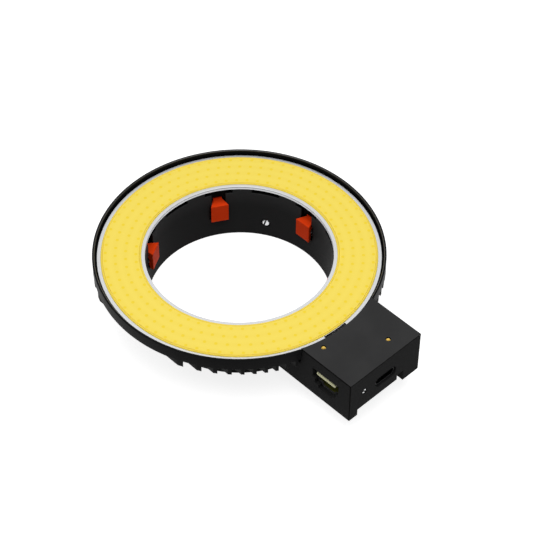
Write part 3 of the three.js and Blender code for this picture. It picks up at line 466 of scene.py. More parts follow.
class Pattern:
    """A Geometry Nodes tree that repeats a shape, with named inputs for its sizes."""

    kinds = {int: "NodeSocketInt", float: "NodeSocketFloat", Vector: "NodeSocketVector"}

    def __init__(self, name, **sizes):
        self.name, self.sizes = name, sizes
        self.tree = bpy.data.node_groups.new(name, "GeometryNodeTree")
        self.tree.interface.new_socket("Geometry", in_out="INPUT", socket_type="NodeSocketGeometry")
        for label, value in sizes.items():
            self.tree.interface.new_socket(label, in_out="INPUT", socket_type=self.kinds[type(value)])
        self.tree.interface.new_socket("Geometry", in_out="OUTPUT", socket_type="NodeSocketGeometry")
        self.inputs = self.tree.nodes.new("NodeGroupInput").outputs

    def node(self, kind, sockets, output=0):
        made = self.tree.nodes.new(kind)
        for name, value in sockets.items():
            if isinstance(value, bpy.types.NodeSocket):
                self.tree.links.new(value, made.inputs[name])
            else:
                made.inputs[name].default_value = value
        return made.outputs[output]

    def vector(self, x=0.0, y=0.0, z=0.0):
        return self.node("ShaderNodeCombineXYZ", {"X": x, "Y": y, "Z": z})

    def made(self, geometry, material, places=((0, 0, 0),)):
        """Runs the tree on a few places and keeps its result as a plain mesh."""
        whole = self.node("GeometryNodeRealizeInstances", {"Geometry": geometry})
        dressed = self.node("GeometryNodeSetMaterial", {"Geometry": whole, "Material": material})
        self.tree.links.new(dressed, self.tree.nodes.new("NodeGroupOutput").inputs["Geometry"])
        mesh = bpy.data.meshes.new(self.name)
        mesh.from_pydata([tuple(p) for p in places], [], [])
        piece = bpy.data.objects.new(self.name, mesh)
        bpy.context.scene.collection.objects.link(piece)
        modifier = piece.modifiers.new(self.name, "NODES")
        modifier.node_group = self.tree
        for item in self.tree.interface.items_tree:
            if item.in_out == "INPUT" and item.name in self.sizes:
                modifier[item.identifier] = self.sizes[item.name]
        return settle(piece)


head_low, head_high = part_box("finned_heat_sink")
head_radius = -head_low.x
rim_top = head_high.z
rim_wall = 0.00085
rim_lip = 0.0003
rim_inner_radius = head_radius - rim_wall
plate_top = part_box("thermal_pad")[0].z
plate_thickness = 0.0014
fin_bottom = head_low.z
plate_bottom = plate_top - plate_thickness
head_bore_radius = 0.0353
fin_pitch = 0.00312
fin_thickness = 0.0009
fin_count = 2 * int((head_radius - fin_pitch) / fin_pitch) + 1
box_half_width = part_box("electronics_box")[1].y
post_radius = 0.002
post_hole_radius = 0.001
post_hole_depth = 0.0017
box_post_reach, box_post_offset = 0.046, 0.0122
box_screw_places = [(box_post_reach, -box_post_offset), (box_post_reach, box_post_offset)]
collar_screw_angles = [60, 120, 180, 240, 300]
collar_screw_radius = 0.03675
head_edge = 0.00012
head_sections = sectors(22, 3.409)

anodised = Finish("black_anodised", Specular_IOR_Level=0.04)
anodised_black = (0.0025, 0.0025, 0.0027, 1)
anodised_grey = (0.0045, 0.0045, 0.0047, 1)
blast_relief = 0.000012
dye_clouds = anodised.noise(60).step(0.3, 0.7)
burnished = (
    anodised.reach().step(rim_inner_radius + rim_lip, rim_inner_radius + 1.2 * rim_lip, 1.0, 0.0)
    * anodised.part("Z").step(rim_top - 1.2 * rim_lip, rim_top - rim_lip))
blast_grain = anodised.noise(5200)
anodised_black_metal = anodised.surface(
    Base_Color=anodised.blend(dye_clouds, anodised_black, anodised_grey),
    Coat_Weight=burnished,
    Roughness=blast_grain.step(0.2, 0.8, 0.36, 0.5),
    Normal=anodised.bump(blast_grain, blast_relief, 0.5))

lip_steps = 6
lip = arc((head_radius - rim_lip, rim_top - rim_lip), rim_lip, 0, 90, lip_steps)
inner_lip = arc((rim_inner_radius + rim_lip, rim_top - rim_lip), rim_lip, 90, 180, lip_steps)
heat_sink = turned("head_cup", [
    (head_bore_radius, plate_bottom), (head_radius, plate_bottom), *lip, *inner_lip,
    (rim_inner_radius, plate_top), (head_bore_radius, plate_top)])

fin_root = plate_bottom + plate_thickness / 2
fins = Pattern(
    "milled_fins", Count=fin_count, Pitch=fin_pitch, Thickness=fin_thickness,
    Length=2 * head_radius, Height=fin_root - fin_bottom,
    First=-fin_pitch * (fin_count - 1) / 2, Middle=(fin_root + fin_bottom) / 2)
fin_line = fins.node("GeometryNodeMeshLine", {
    "Count": fins.inputs["Count"],
    "Start Location": fins.vector(0.0, fins.inputs["First"], fins.inputs["Middle"]),
    "Offset": fins.vector(0.0, fins.inputs["Pitch"], 0.0)})
one_fin = fins.node("GeometryNodeMeshCube", {
    "Size": fins.vector(fins.inputs["Length"], fins.inputs["Thickness"], fins.inputs["Height"])})
fin_row = fins.made(
    fins.node("GeometryNodeInstanceOnPoints", {"Points": fin_line, "Instance": one_fin}),
    anodised_black_metal)
fin_zone = turned("fin_zone", [
    (head_bore_radius, fin_bottom), (head_radius, fin_bottom),
    (head_radius, fin_root), (head_bore_radius, fin_root)])
combine(fin_row, [fin_zone], "INTERSECT")


def at_head_screws(radius, low, high):
    """Posts or holes at the five collar screws and the two box screws."""
    around = moved(cylinder("upright", radius, low, high), collar_screw_radius, 0)
    return turned_copies(around, collar_screw_angles) + uprights(radius, low, high, box_screw_places)


combine(heat_sink, [fin_row, *at_head_screws(post_radius, fin_bottom, fin_root)], "UNION")
sector_side = box_half_width + seat_gap
sector = block(
    "sector", (0, -sector_side, fin_bottom - overrun),
    (head_radius + overrun, sector_side, rim_top + overrun))
combine(sector, [cylinder(
    "sector_inside", rim_inner_radius - seat_gap, fin_bottom - 2 * overrun, rim_top + 2 * overrun,
    turn_steps)])
combine(heat_sink, [
    sector, *at_head_screws(post_hole_radius, fin_bottom - overrun, fin_bottom + post_hole_depth)])
heat_sink.name = "head_casting"
soften(heat_sink, head_edge, sections=head_sections)
mount(heat_sink, "head", "anodised_housing", anodised_black_metal, "finned_heat_sink")


# Mounting collar.
# The black sleeve that slips over the objective. Its wall has holes for the clamp screws, shallow
# recesses under the light board, and a window round each latch, closed outside by a cowl. Above the
# flange the window's slot leaves a thin skin of the wall.
bore_radius = 0.033
collar_wall = 0.002
collar_radius = bore_radius + collar_wall
wall_middle = bore_radius + collar_wall / 2
flange_width = 0.0035
flange_thickness = 0.0016
flange_radius = collar_radius + flange_width
flange_top = fin_bottom - fit_gap
flange_bottom = flange_top - flange_thickness
flange_hole_radius = 0.00105
bore_chamfer = 0.0003
recess_count, recess_angle = 12, 18
recess_depth = 0.00145
recess_floor = 0.02065
latch_count, latch_first = 6, 30
window_width, window_bottom = 0.0071, 0.00845
window_shoulder, window_shoulder_rise = 0.0147, 0.0022
slot_width, slot_skin = 0.00525, 0.0004
window_depth = 0.00295
cowl_reach, cowl_side = bore_radius + 0.0031, window_width / 2 + 0.0002
cowl_wall, cowl_bottom = 0.0008, window_bottom - 0.002
pivot_radius, pivot_height = 0.0339, 0.0154
latch_pin_radius, latch_pin_length, pin_hole_end = 0.00035, 0.0083, 0.011
pin_turn_steps = 24
clamp_count = 3
clamp_height = 0.0063
clamp_boss_radius, clamp_boss_length = 0.003, 0.0016
clamp_hole_start, clamp_hole_radius = 0.01, 0.0018
box_inner_reach = collar_radius + 0.0024
collar_edge = 0.00012
collar_sections = sectors(24, 3.75)
sleeve_skin = 0.0002
# Heights between which the bore's wall is painted paler towards its top, as painted light.
painted_light_start, painted_light_end = 0.0135, 0.0212
tool_mark_rate, tool_mark_share, tool_mark_relief = 52000, 0.25, 0.000006
sleeve_black = (0.0228, 0.0228, 0.0232, 1)
# Painted light: the wall's paler colour towards its top.
sleeve_painted_light = (0.037, 0.037, 0.0376, 1)
# Painted shade: the near black inside the wall's pockets.
sleeve_pocket_painted_shade = (0.003, 0.003, 0.003, 1)


def rod(name, radius, start, end, steps=hole_turn_steps):
    """A cylinder along X."""
    made = cylinder(name, radius, start, end, steps)
    made.data.transform(Matrix.Rotation(math.pi / 2, 4, "Y"))
    return made


def even_angles(count, first=0):
    return [first + 360 * i / count for i in range(count)]


def at_latches(tool):
    return turned_copies(tool, even_angles(latch_count, latch_first))


def at_clamps(tool):
    return turned_copies(moved(tool, 0, 0, clamp_height), even_angles(clamp_count))


def pin_rod(name, radius, start, end):
    """A rod across a latch at angle 0, on the line that it turns about."""
    made = cylinder(name, radius, -end, -start, pin_turn_steps)
    made.data.transform(Matrix.Rotation(math.pi / 2, 4, "X"))
    return moved(made, pivot_radius, 0, pivot_height)


def ring_slice(name, inner, outer, start, end, low, high, steps=12):
    outside = arc((0, 0), outer, start, end, steps)
    inside = arc((0, 0), inner, end, start, steps)
    return prism(name, outside + inside, low, high)


sleeve_metal = Finish("black_anodised_sleeve", Specular_IOR_Level=0.01)
sleeve_height = sleeve_metal.part("Z")
tool_marks = (sleeve_height * tool_mark_rate).calculate("SINE")
sleeve_grain = sleeve_metal.noise(4200)
sleeve_reach = sleeve_metal.reach()
# Painted shade: inside the wall's recesses, windows, slots and holes the sleeve is painted near black,
# where shade falls.
painted_pocket_shade = (
    sleeve_reach.step(bore_radius + sleeve_skin, bore_radius + 2.5 * sleeve_skin)
    * sleeve_reach.step(collar_radius - 2 * sleeve_skin, collar_radius - sleeve_skin, 1.0, 0.0))
# Painted light: the wall is painted paler towards its top, standing in for light that reaches it there.
sleeve_lit_towards_top = sleeve_metal.blend(sleeve_height.step(painted_light_start, painted_light_end), sleeve_black, sleeve_painted_light)
sleeve_black_metal = sleeve_metal.surface(
    Base_Color=sleeve_metal.blend(painted_pocket_shade, sleeve_lit_towards_top, sleeve_pocket_painted_shade),
    Roughness=sleeve_grain.step(0.2, 0.8, 0.42, 0.55),
    Normal=sleeve_metal.bump(sleeve_grain + tool_marks * tool_mark_share, tool_mark_relief))

collar = turned("collar_sleeve", [
    (bore_radius + bore_chamfer, 0), (collar_radius, 0), (collar_radius, flange_bottom),
    (flange_radius, flange_bottom), (flange_radius, flange_top), (collar_radius, flange_top),
    (collar_radius, plate_top), (bore_radius, plate_top), (bore_radius, bore_chamfer)])
clamp_boss = rod("clamp_boss", clamp_boss_radius, wall_middle, collar_radius + clamp_boss_length)
cowl = block(
    "cowl", (wall_middle, -cowl_side - cowl_wall, cowl_bottom),
    (cowl_reach + cowl_wall, cowl_side + cowl_wall, flange_bottom + overrun))
combine(cowl, [block(
    "cowl_room", (collar_radius, -cowl_side, cowl_bottom - overrun),
    (cowl_reach, cowl_side, flange_bottom))])
combine(collar, [*at_clamps(clamp_boss), *at_latches(cowl)], "UNION")

clamp_hole = rod("clamp_hole", clamp_hole_radius, clamp_hole_start, flange_radius + overrun)
recess = ring_slice(
    "recess", bore_radius - overrun, bore_radius + recess_depth,
    -recess_angle / 2, recess_angle / 2, recess_floor, plate_top + overrun)
window_right = [
    (window_width / 2, window_bottom), (window_width / 2, window_shoulder),
    (slot_width / 2, window_shoulder + window_shoulder_rise), (slot_width / 2, flange_top)]
window_left = [(-u, v) for u, v in reversed(window_right)]
latch_window = prism(
    "latch_window", window_left[-1:] + window_right + window_left[:-1],
    bore_radius - overrun, bore_radius + window_depth, along="X")
blind_slot = block(
    "blind_slot", (bore_radius - overrun, -slot_width / 2, flange_top - overrun),
    (collar_radius - slot_skin, slot_width / 2, plate_top + overrun))
pin_hole = pin_rod(
    "pin_hole", latch_pin_radius + pin_gap, -latch_pin_length / 2 - pin_gap, pin_hole_end)
flange_hole = cylinder("flange_hole", flange_hole_radius, flange_bottom - overrun, flange_top + overrun)
combine(collar, [
    *at_clamps(clamp_hole),
    *turned_copies(recess, even_angles(recess_count)),
    *at_latches(latch_window),
    *at_latches(blind_slot),
    *at_latches(pin_hole),
    *turned_copies(moved(flange_hole, collar_screw_radius, 0), collar_screw_angles),
    block("box_flat", (box_inner_reach - seat_gap, -flange_radius, flange_bottom - overrun),
          (flange_radius + overrun, flange_radius, flange_top + overrun))])
soften(collar, collar_edge, sections=collar_sections)
mount(collar, "head", "anodised_housing", sleeve_black_metal, "mounting_collar")


# Light board.
# A bright aluminium ring on a grey silicone pad. Its border shows inside and outside the yellow,
# a thin dark line of laminate runs round its inner edge, and beside the box it is notched for the leads.
light_face = light_face_height
board_bottom = 0.0225
board_radius = 0.0497
groove_low, groove_high, groove_depth, groove_blur = 0.0233, 0.0235, 0.00015, 0.00002
notch_depth = 0.0011
notch_middle, notch_half_angle = -2.1, 5.6
board_edge = 0.00008
board_silver, laminate_dark = (0.6, 0.608, 0.617, 1), (0.05, 0.05, 0.05, 1)

board_metal = Finish("light_board_aluminium", Metallic=0.85)
board_height = board_metal.part("Z")
laminate_line = (
    board_height.step(groove_low - groove_blur, groove_low + groove_blur)
    * board_height.step(groove_high - groove_blur, groove_high + groove_blur, 1.0, 0.0))
board_aluminium = board_metal.grained(
    board_metal.blend(laminate_line, board_silver, laminate_dark), 2600, 0.32, 0.44)

light_board = turned("aluminium_board", [
    (bore_radius, board_bottom), (board_radius, board_bottom), (board_radius, light_face),
    (bore_radius, light_face), (bore_radius, groove_high), (bore_radius + groove_depth, groove_high),
    (bore_radius + groove_depth, groove_low), (bore_radius, groove_low)])


def lead_notch():
    return ring_slice(
        "lead_notch", board_radius - notch_depth, board_radius + overrun, notch_middle - notch_half_angle,
        notch_middle + notch_half_angle, plate_top - overrun, light_face + overrun)


combine(light_board, [lead_notch()])
soften(light_board, board_edge, sections=head_sections)
mount(light_board, "head", "light_board_metal", board_aluminium, "light_board")

pad_silicone = Finish("pad_silicone", Roughness=0.75, Base_Color=(0.26, 0.27, 0.29, 1))
thermal_pad = turned("silicone_pad", [
    (head_bore_radius + seat_gap, plate_top), (board_radius, plate_top),
    (board_radius, board_bottom), (head_bore_radius + seat_gap, board_bottom)])
combine(thermal_pad, [lead_notch()])
shade(thermal_pad)
mount(thermal_pad, "head", "thermal_silicone", pad_silicone.material, "thermal_pad")


# Light-emitting layer.
# Silicone cast over four rings of small light chips, between two raised dams of deeper yellow. The
# phosphor in it is yellow, each chip shows as a slightly deeper dot, and soft bands of painted sheen
# run between rings.
phosphor_inner_radius = 0.03423
phosphor_outer_radius = 0.04844
phosphor_height = 0.0003
dam_width, dam_height, cast_gap = 0.0008, 0.0004, 0.000005
chip_rings = [(0.0361, 60, 0.33), (0.0397, 65, -1.06), (0.0433, 70, 2.86), (0.0468, 75, 1.53)]
chip_dot_radius, chip_dot_blur, chip_dot_strength = 0.00042, 0.0003, 0.7
sheen_band_width, cast_relief = 0.0009, 0.00002
phosphor_yellow = (0.965, 0.755, 0.115, 1)
# Painted sheen: the paler yellow between the chip rings.
phosphor_painted_sheen = (0.975, 0.772, 0.13, 1)
phosphor_deep = (0.93, 0.68, 0.015, 1)
dam_yellow = (0.93, 0.71, 0.085, 1)

phosphor = Finish("phosphor_silicone", Specular_IOR_Level=0.1, Roughness=0.5)
distance_out = phosphor.reach()
around = phosphor.part("Y").calculate("ARCTAN2", phosphor.part("X"))


def chip_dots(radius, count, first_angle):
    """One where a chip of a ring sits and nought elsewhere, with a soft edge."""
    turn = (around - math.radians(first_angle)) * (count / (2 * math.pi)) + 0.5
    offset = (turn.calculate("FRACT") - 0.5) * (2 * math.pi * radius / count)
    reach = distance_out - radius
    gap = (offset * offset + reach * reach).calculate("SQRT")
    return gap.step(chip_dot_radius, chip_dot_radius + chip_dot_blur, 1.0, 0.0)


dots = sum((chip_dots(*ring) for ring in chip_rings[1:]), chip_dots(*chip_rings[0]))
# Painted sheen: soft paler bands between the chip rings stand in for lamp reflections on the cast
# surface.
painted_sheen_bands = 0.0
for ring_radius, _, _ in chip_rings:
    reach = distance_out - ring_radius
    painted_sheen_bands = painted_sheen_bands + reach.calculate("ABSOLUTE").step(0.0, 2 * sheen_band_width, 1.0, 0.0)
phosphor_color = phosphor.blend(painted_sheen_bands, phosphor_painted_sheen, phosphor_yellow)
phosphor_finish = phosphor.surface(
    Base_Color=phosphor.blend(dots * chip_dot_strength, phosphor_color, phosphor_deep),
    Normal=phosphor.bump(phosphor.noise(420, detail=3.0), cast_relief, 0.3))

layer_inner = phosphor_inner_radius + dam_width + cast_gap
layer_outer = phosphor_outer_radius - dam_width - cast_gap
phosphor_top = light_face + phosphor_height
phosphor_layer = turned("phosphor_cast", [
    (layer_inner, light_face), (layer_outer, light_face),
    (layer_outer, phosphor_top), (layer_inner, phosphor_top)])
shade(phosphor_layer)
mount(phosphor_layer, "head", "phosphor", phosphor_finish, "phosphor_layer")

dam_silicone = Finish("dam_silicone", Roughness=0.4, Specular_IOR_Level=0.1, Base_Color=dam_yellow)
bead_steps = 8
bead = arc((0, 0), 1.0, 0, 180, bead_steps)
dam_starts = {"inner_dam": phosphor_inner_radius, "outer_dam": phosphor_outer_radius - dam_width}
for node_name, inner in dam_starts.items():
    middle = inner + dam_width / 2
    dam = turned(node_name + "_bead", [
        (middle + dam_width / 2 * u, light_face + dam_height * v) for u, v in bead])
    shade(dam)
    mount(dam, "head", "dam_silicone", dam_silicone.material, node_name)


# Latches.
# Six orange-red moulded pads look into the bore through their windows. Each is a block with a flat top
# that narrows outwards, and turns on a steel pin near its top against a bent strip of spring steel.
latch_face, latch_back = 0.0311, 0.0329
latch_tail, latch_end = 0.03505, 0.03565
latch_face_width, latch_tail_width = 0.0066, 0.0033
latch_bottom, latch_top, latch_lip_top = 0.00875, 0.0166, 0.0172
slope_bottom, slope_top = 0.0132, 0.0144
pad_chamfer = 0.0003
latch_edge, pin_edge, spring_edge = 0.00014, 0.0001, 0.00006
mould_relief = 0.00001
spring_width, spring_thickness = 0.004, 0.00025
spring_foot, spring_foot_top, spring_tip = 0.0024, 0.00869, 0.01165
spring_bend_share = 0.25

latch_red = Finish("latch_red", Specular_IOR_Level=0.02)
latch_red_plastic = latch_red.grained((0.78, 0.05, 0.006, 1), 3000, 0.42, 0.55, mould_relief)
pin_steel = Finish("blackened_steel", Metallic=1.0, Roughness=0.4, Base_Color=(0.05, 0.05, 0.052, 1))
strip_steel = Finish("blued_spring_steel", Metallic=1.0)
strip_steel_finish = strip_steel.grained((0.34, 0.345, 0.36, 1), 1500, 0.28, 0.42)


def latch_shape(name):
    """The latch at angle 0: its side view trimmed by its plan, with the pin's hole."""
    half, tail_half = latch_face_width / 2, latch_tail_width / 2
    side = prism(name, [
        (latch_face, latch_bottom + pad_chamfer), (latch_face + pad_chamfer, latch_bottom),
        (latch_back, latch_bottom), (latch_back, slope_bottom), (latch_end, slope_top),
        (latch_end, latch_lip_top), (latch_tail, latch_lip_top), (latch_tail, latch_top),
        (latch_face, latch_top)], -half, half, along="Y")
    plan = prism("latch_plan", [
        (latch_face, -half), (latch_tail, -tail_half), (latch_end, -tail_half),
        (latch_end, tail_half), (latch_tail, tail_half), (latch_face, half)], latch_bottom, latch_lip_top)
    combine(side, [plan], "INTERSECT")
    combine(side, [pin_rod("pin_bore", latch_pin_radius + pin_gap, -latch_face_width, latch_face_width)])
    return soften(side, latch_edge, segments=3)


def spring_shape(name):
    """A strip that stands against the collar and bends in to the latch's back, at angle 0."""
    foot = collar_radius + fit_gap
    tip = latch_back + seat_gap
    bend = (spring_tip - spring_foot_top) * spring_bend_share
    return prism(name, [
        (foot, spring_foot), (foot + spring_thickness, spring_foot),
        (foot + spring_thickness, spring_foot_top), (tip + spring_thickness, spring_tip - bend),
        (foot + spring_thickness, spring_tip + bend), (foot, spring_tip + bend),
        (tip, spring_tip - bend + spring_thickness), (tip, spring_tip - bend - spring_thickness),
        (foot, spring_foot_top)], -spring_width / 2, spring_width / 2, along="Y")


latches = at_latches(latch_shape("latch"))
one_pin = pin_rod("pin", latch_pin_radius, -latch_pin_length / 2, latch_pin_length / 2)
pins = at_latches(soften(one_pin, pin_edge))
springs = at_latches(soften(spring_shape("spring"), spring_edge))
for i, (pad, pin, spring) in enumerate(zip(latches, pins, springs), 1):
    pad.name, pin.name, spring.name = f"latch_pad_{i}", f"hinge_pin_{i}", f"spring_strip_{i}"
    mount(pad, f"latch_body_{i}", "latch_plastic", latch_red_plastic, f"latch_{i}")
    mount(pin, "head", "fastener_steel", pin_steel.material, f"latch_pin_{i}")
    mount(spring, "head", "spring_steel", strip_steel_finish, f"latch_spring_{i}")
    turn = math.radians(even_angles(latch_count, latch_first)[i - 1])
    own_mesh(spring)


# Clamp screws.
# Three steel thumbscrews, 120 degrees apart, whose cupped tips stop just short of the bore. Each has
# a slot beside the middle of its tip, a fine thread, and a fluted knob with a slot, which stays clear
# of the collar's boss at full travel.
clamp_shank_radius = 0.0015
clamp_tip_reach = bore_radius + 0.0003
clamp_tip_chamfer = 0.0003
clamp_travel = 0.003
knob_clearance = 0.0002
knob_start = collar_radius + clamp_boss_length + clamp_travel + knob_clearance
knob_length, knob_radius, knob_groove, knob_flutes = 0.004, 0.0038, 0.0003, 16
knob_slot_width, knob_slot_depth = 0.0008, 0.0009
cup_radius, cup_depth = 0.00095, 0.00045
tip_slot_width, tip_slot_depth = 0.0006, 0.0016
tip_slot_offset, tip_slot_tilt = 0.00035, 15
thread_pitch, thread_depth = 0.0005, 0.00022
flute_steps = 6
knob_edge = 0.00018
screw_crease = math.radians(38)

turned_steel = Finish("turned_steel", Metallic=1.0)
turned_steel_finish = turned_steel.grained((0.62, 0.625, 0.635, 1), 2500, 0.2, 0.34)


def threaded(name, radius, depth, pitch, low, high, steps=24, rings=6):
    """An upright rod whose surface runs in a helix, its thread fading out at both ends."""
    shape = bmesh.new()
    count = int((high - low) / pitch) * rings
    rows = []
    for i in range(count + 1):
        height = low + (high - low) * i / count
        fade = min(1.0, (height - low) / pitch, (high - height) / pitch)
        row = []
        for j in range(steps):
            phase = ((height - low) / pitch - j / steps) % 1.0
            out = radius - depth * fade * (1 - abs(2 * phase - 1))
            turn = 2 * math.pi * j / steps
            row.append(shape.verts.new((out * math.cos(turn), out * math.sin(turn), height)))
        rows.append(row)
    for below, above in zip(rows, rows[1:]):
        for j in range(steps):
            shape.faces.new((below[j - 1], below[j], above[j], above[j - 1]))
    shape.faces.new(rows[0])
    shape.faces.new(rows[-1])
    return as_object(name, shape)


def thumbscrew(name):
    """The screw at angle 0, its tip towards the bore's axis."""
    shank_end = knob_start + knob_edge
    tip_side = clamp_tip_reach + clamp_tip_chamfer
    shank = threaded(name, clamp_shank_radius, thread_depth, thread_pitch, tip_side, shank_end)
    tip = turned("tip", [
        (0, clamp_tip_reach + cup_depth), (cup_radius, clamp_tip_reach),
        (clamp_shank_radius - clamp_tip_chamfer, clamp_tip_reach), (clamp_shank_radius, tip_side),
        (clamp_shank_radius, tip_side + clamp_tip_chamfer), (0, tip_side + clamp_tip_chamfer)],
        hole_turn_steps)
    outline = []
    for i in range(knob_flutes * flute_steps):
        turn = 2 * math.pi * i / (knob_flutes * flute_steps)
        out = knob_radius - knob_groove * (0.5 - 0.5 * math.cos(turn * knob_flutes))
        outline.append((out * math.cos(turn), out * math.sin(turn)))
    knob_end = knob_start + knob_length
    knob = prism("knob", outline, knob_start, knob_end)
    knob_ends = turned("knob_ends", [
        (0, knob_start), (knob_radius - knob_groove, knob_start), (knob_radius, knob_start + knob_groove),
        (knob_radius, knob_end - knob_groove), (knob_radius - knob_groove, knob_end), (0, knob_end)],
        hole_turn_steps)
    combine(knob, [knob_ends], "INTERSECT")
    combine(knob, [block(
        "slot", (-knob_radius - overrun, -knob_slot_width / 2, knob_end - knob_slot_depth),
        (knob_radius + overrun, knob_slot_width / 2, knob_end + overrun))])
    combine(shank, [tip, knob], "UNION")
    tip_slot = block(
        "tip_slot", (-2 * clamp_shank_radius, -tip_slot_width / 2, clamp_tip_reach - overrun),
        (2 * clamp_shank_radius, tip_slot_width / 2, clamp_tip_reach + tip_slot_depth))
    tip_slot.data.transform(Matrix.Rotation(math.radians(tip_slot_tilt), 4, "Z"))
    combine(shank, [moved(tip_slot, 0, tip_slot_offset)])
    shade(shank, screw_crease)
    shank.data.transform(Matrix.Rotation(math.pi / 2, 4, "Y"))
    return shank


for i, screw in enumerate(at_clamps(thumbscrew("thumbscrew")), 1):
    screw.name = f"thumbscrew_{i}"
    mount(screw, f"clamp_body_{i}", "fastener_steel", turned_steel_finish, f"clamp_screw_{i}")


# Small screws.
# Socket-head screws hold the collar's flange and the box's roof under the fins, and the base cover
# under its posts. All their heads look down, and each row is one pattern.
screw_shank_radius = 0.0009
screw_head_radius, screw_head_height, screw_head_chamfer = 0.0016, 0.0011, 0.0002
socket_radius, socket_depth = 0.0007, 0.0006
roof_top, lid_thickness = fin_bottom - fit_gap, 0.0016
roof_bottom = roof_top - lid_thickness
cover_bottom, cover_thickness = 0.0104, 0.0015
head_bite, cover_bite = 0.0016, 0.0009
box_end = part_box("electronics_box")[1].x
cover_screw_places = [(0.0411, -0.01104), (0.0411, 0.0075), (0.0669, 0.0075)]


def cap_screws(name, shank_length, seat_height, places):
    """A row of upright screws with their heads below their seats."""
    head = turned("screw", [
        (0, -screw_head_height), (screw_head_radius - screw_head_chamfer, -screw_head_height),
        (screw_head_radius, screw_head_chamfer - screw_head_height), (screw_head_radius, 0),
        (screw_shank_radius, 0), (screw_shank_radius, shank_length), (0, shank_length)],
        small_turn_steps)
    socket_end = socket_depth - screw_head_height
    socket = cylinder("socket", socket_radius, -screw_head_height - overrun, socket_end, 6)
    combine(head, [socket])
    shade(head)
    row = Pattern(name)
    one = row.node("GeometryNodeObjectInfo", {"Object": head}, output="Geometry")
    spots = row.node("GeometryNodeInstanceOnPoints", {
        "Points": row.tree.nodes["Group Input"].outputs["Geometry"], "Instance": one})
    made = row.made(spots, pin_steel.material, [(x, y, seat_height) for x, y in places])
    bpy.data.objects.remove(head)
    return made


collar_screw_places = [
    (collar_screw_radius * math.cos(math.radians(a)), collar_screw_radius * math.sin(math.radians(a)))
    for a in collar_screw_angles]
screw_rows = [
    ("flange_screws", flange_thickness + head_bite, flange_bottom, collar_screw_places, "collar_screw"),
    ("roof_screws", lid_thickness + head_bite, roof_bottom, box_screw_places, "box_screw"),
    ("cover_screws", cover_thickness + cover_bite, cover_bottom, cover_screw_places, "cover_screw")]
for row_name, shank_length, seat_height, places, node_name in screw_rows:
    mount(cap_screws(row_name, shank_length, seat_height, places), "head", "fastener_steel", None,
          *[f"{node_name}_{i + 1}" for i in range(len(places))])


# Electronics box.
# A black moulded shell with two runners below. Its inner end follows the rim's curve, and it opens for
# the jack, the USB socket, the end screw and the light pipes. The lid, level with the rim, is painted a
# little paler than the sides as painted light from above, and a painted shadow line runs under its edge
# and down the corners of the end face.
box_bottom, box_corner = 0.0077, 0.00035
box_inside_half, box_inside_end = 0.01504, 0.0686
box_end_wall, box_arc_wall = 0.002, 0.0011
lid_bottom, cover_top = rim_top - lid_thickness, cover_bottom + cover_thickness
channel_left, channel_right = -0.01274, 0.0092
notch_width, notch_height = 0.003, 0.0022
cover_post_tops = [0.01725, 0.01725, 0.01315]
jack_middle, jack_mouth_top, jack_step = 0.05925, 0.0205, 0.0161
jack_mouth_half, jack_throat_half, jack_tab_half = 0.00595, 0.0048, 0.0031
jack_throat_bottom, jack_tab_bottom = 0.0137, 0.01245
usb_offset, usb_height = 0.0004, 0.01655
usb_slot_width, usb_slot_height, usb_slot_corner = 0.0098, 0.0044, 0.00176
end_screw_offset, end_screw_height, end_screw_radius = -0.0098, 0.0174, 0.0009
pipe_radius, pipe_length = 0.00075, 0.0022
pipe_places = {"left_light_pipe": (0.0524, -0.011), "right_light_pipe": (0.0647, 0.0071)}
lead_middle, lead_spacing, lead_port_height = -0.00182, 0.0024, 0.0018
box_edge = 0.00015
# Painted light: depth and blur of the lid's paler top face.
lit_top_skin, lit_top_blur = 0.0001, 0.00006
edge_shade, corner_shade, shade_blur = 0.0006, 0.0004, 0.0001
spark_relief = 0.00002
wall_inside = rim_inner_radius + box_arc_wall
# Painted light: the lid top's paler colours, lit copies of the sides' black.
painted_lit_top_dark, painted_lit_top_pale = (0.035, 0.035, 0.0355, 1), (0.04, 0.04, 0.0405, 1)
# The sides' own black, and the near black of the painted shadow lines under the lid's edge and down the
# end's corners.
side_black, painted_shadow_black = (0.0195, 0.0195, 0.0198, 1), (0.003, 0.003, 0.003, 1)

box_resin = Finish("black_moulded_plastic", Specular_IOR_Level=0.012)
spark_grain = box_resin.noise(2600, detail=3.0)
resin_flow = box_resin.noise(90).step(0.3, 0.7)
box_height = box_resin.part("Z")
# Painted light: the lid's top face is painted paler than the sides, standing in for light from above.
painted_lit_top = box_height.step(rim_top - lit_top_skin, rim_top - lit_top_skin + lit_top_blur)
# Painted shadow: a dark line just under the lid's edge, and one down each corner of the end face.
painted_edge_shadow = box_height.step(rim_top - edge_shade, rim_top - edge_shade + shade_blur)
end_shade, side_shade = box_end - corner_shade, box_half_width - corner_shade
painted_corner_shadow = (
    box_resin.part("X").step(end_shade, end_shade + shade_blur)
    * box_resin.part("Y").calculate("ABSOLUTE").step(side_shade, side_shade + shade_blur))
painted_lit_top_color = box_resin.blend(resin_flow, painted_lit_top_dark, painted_lit_top_pale)
side_color = box_resin.blend(painted_edge_shadow.calculate("MAXIMUM", painted_corner_shadow), side_black, painted_shadow_black)
box_plastic = box_resin.surface(
    Base_Color=box_resin.blend(painted_lit_top, side_color, painted_lit_top_color),
    Roughness=spark_grain.step(0.25, 0.75, 0.5, 0.66),
    Normal=box_resin.bump(spark_grain, spark_relief, 0.5))


def rounded(middle, width, height, radius, steps=6):
    """The outline of a rectangle with round corners."""
    outline = []
    for start, side_u, side_v in ((0, 1, 1), (90, -1, 1), (180, -1, -1), (270, 1, -1)):
        corner = (middle[0] + side_u * (width / 2 - radius), middle[1] + side_v * (height / 2 - radius))
        outline += arc(corner, radius, start, start + 90, steps)
    return outline


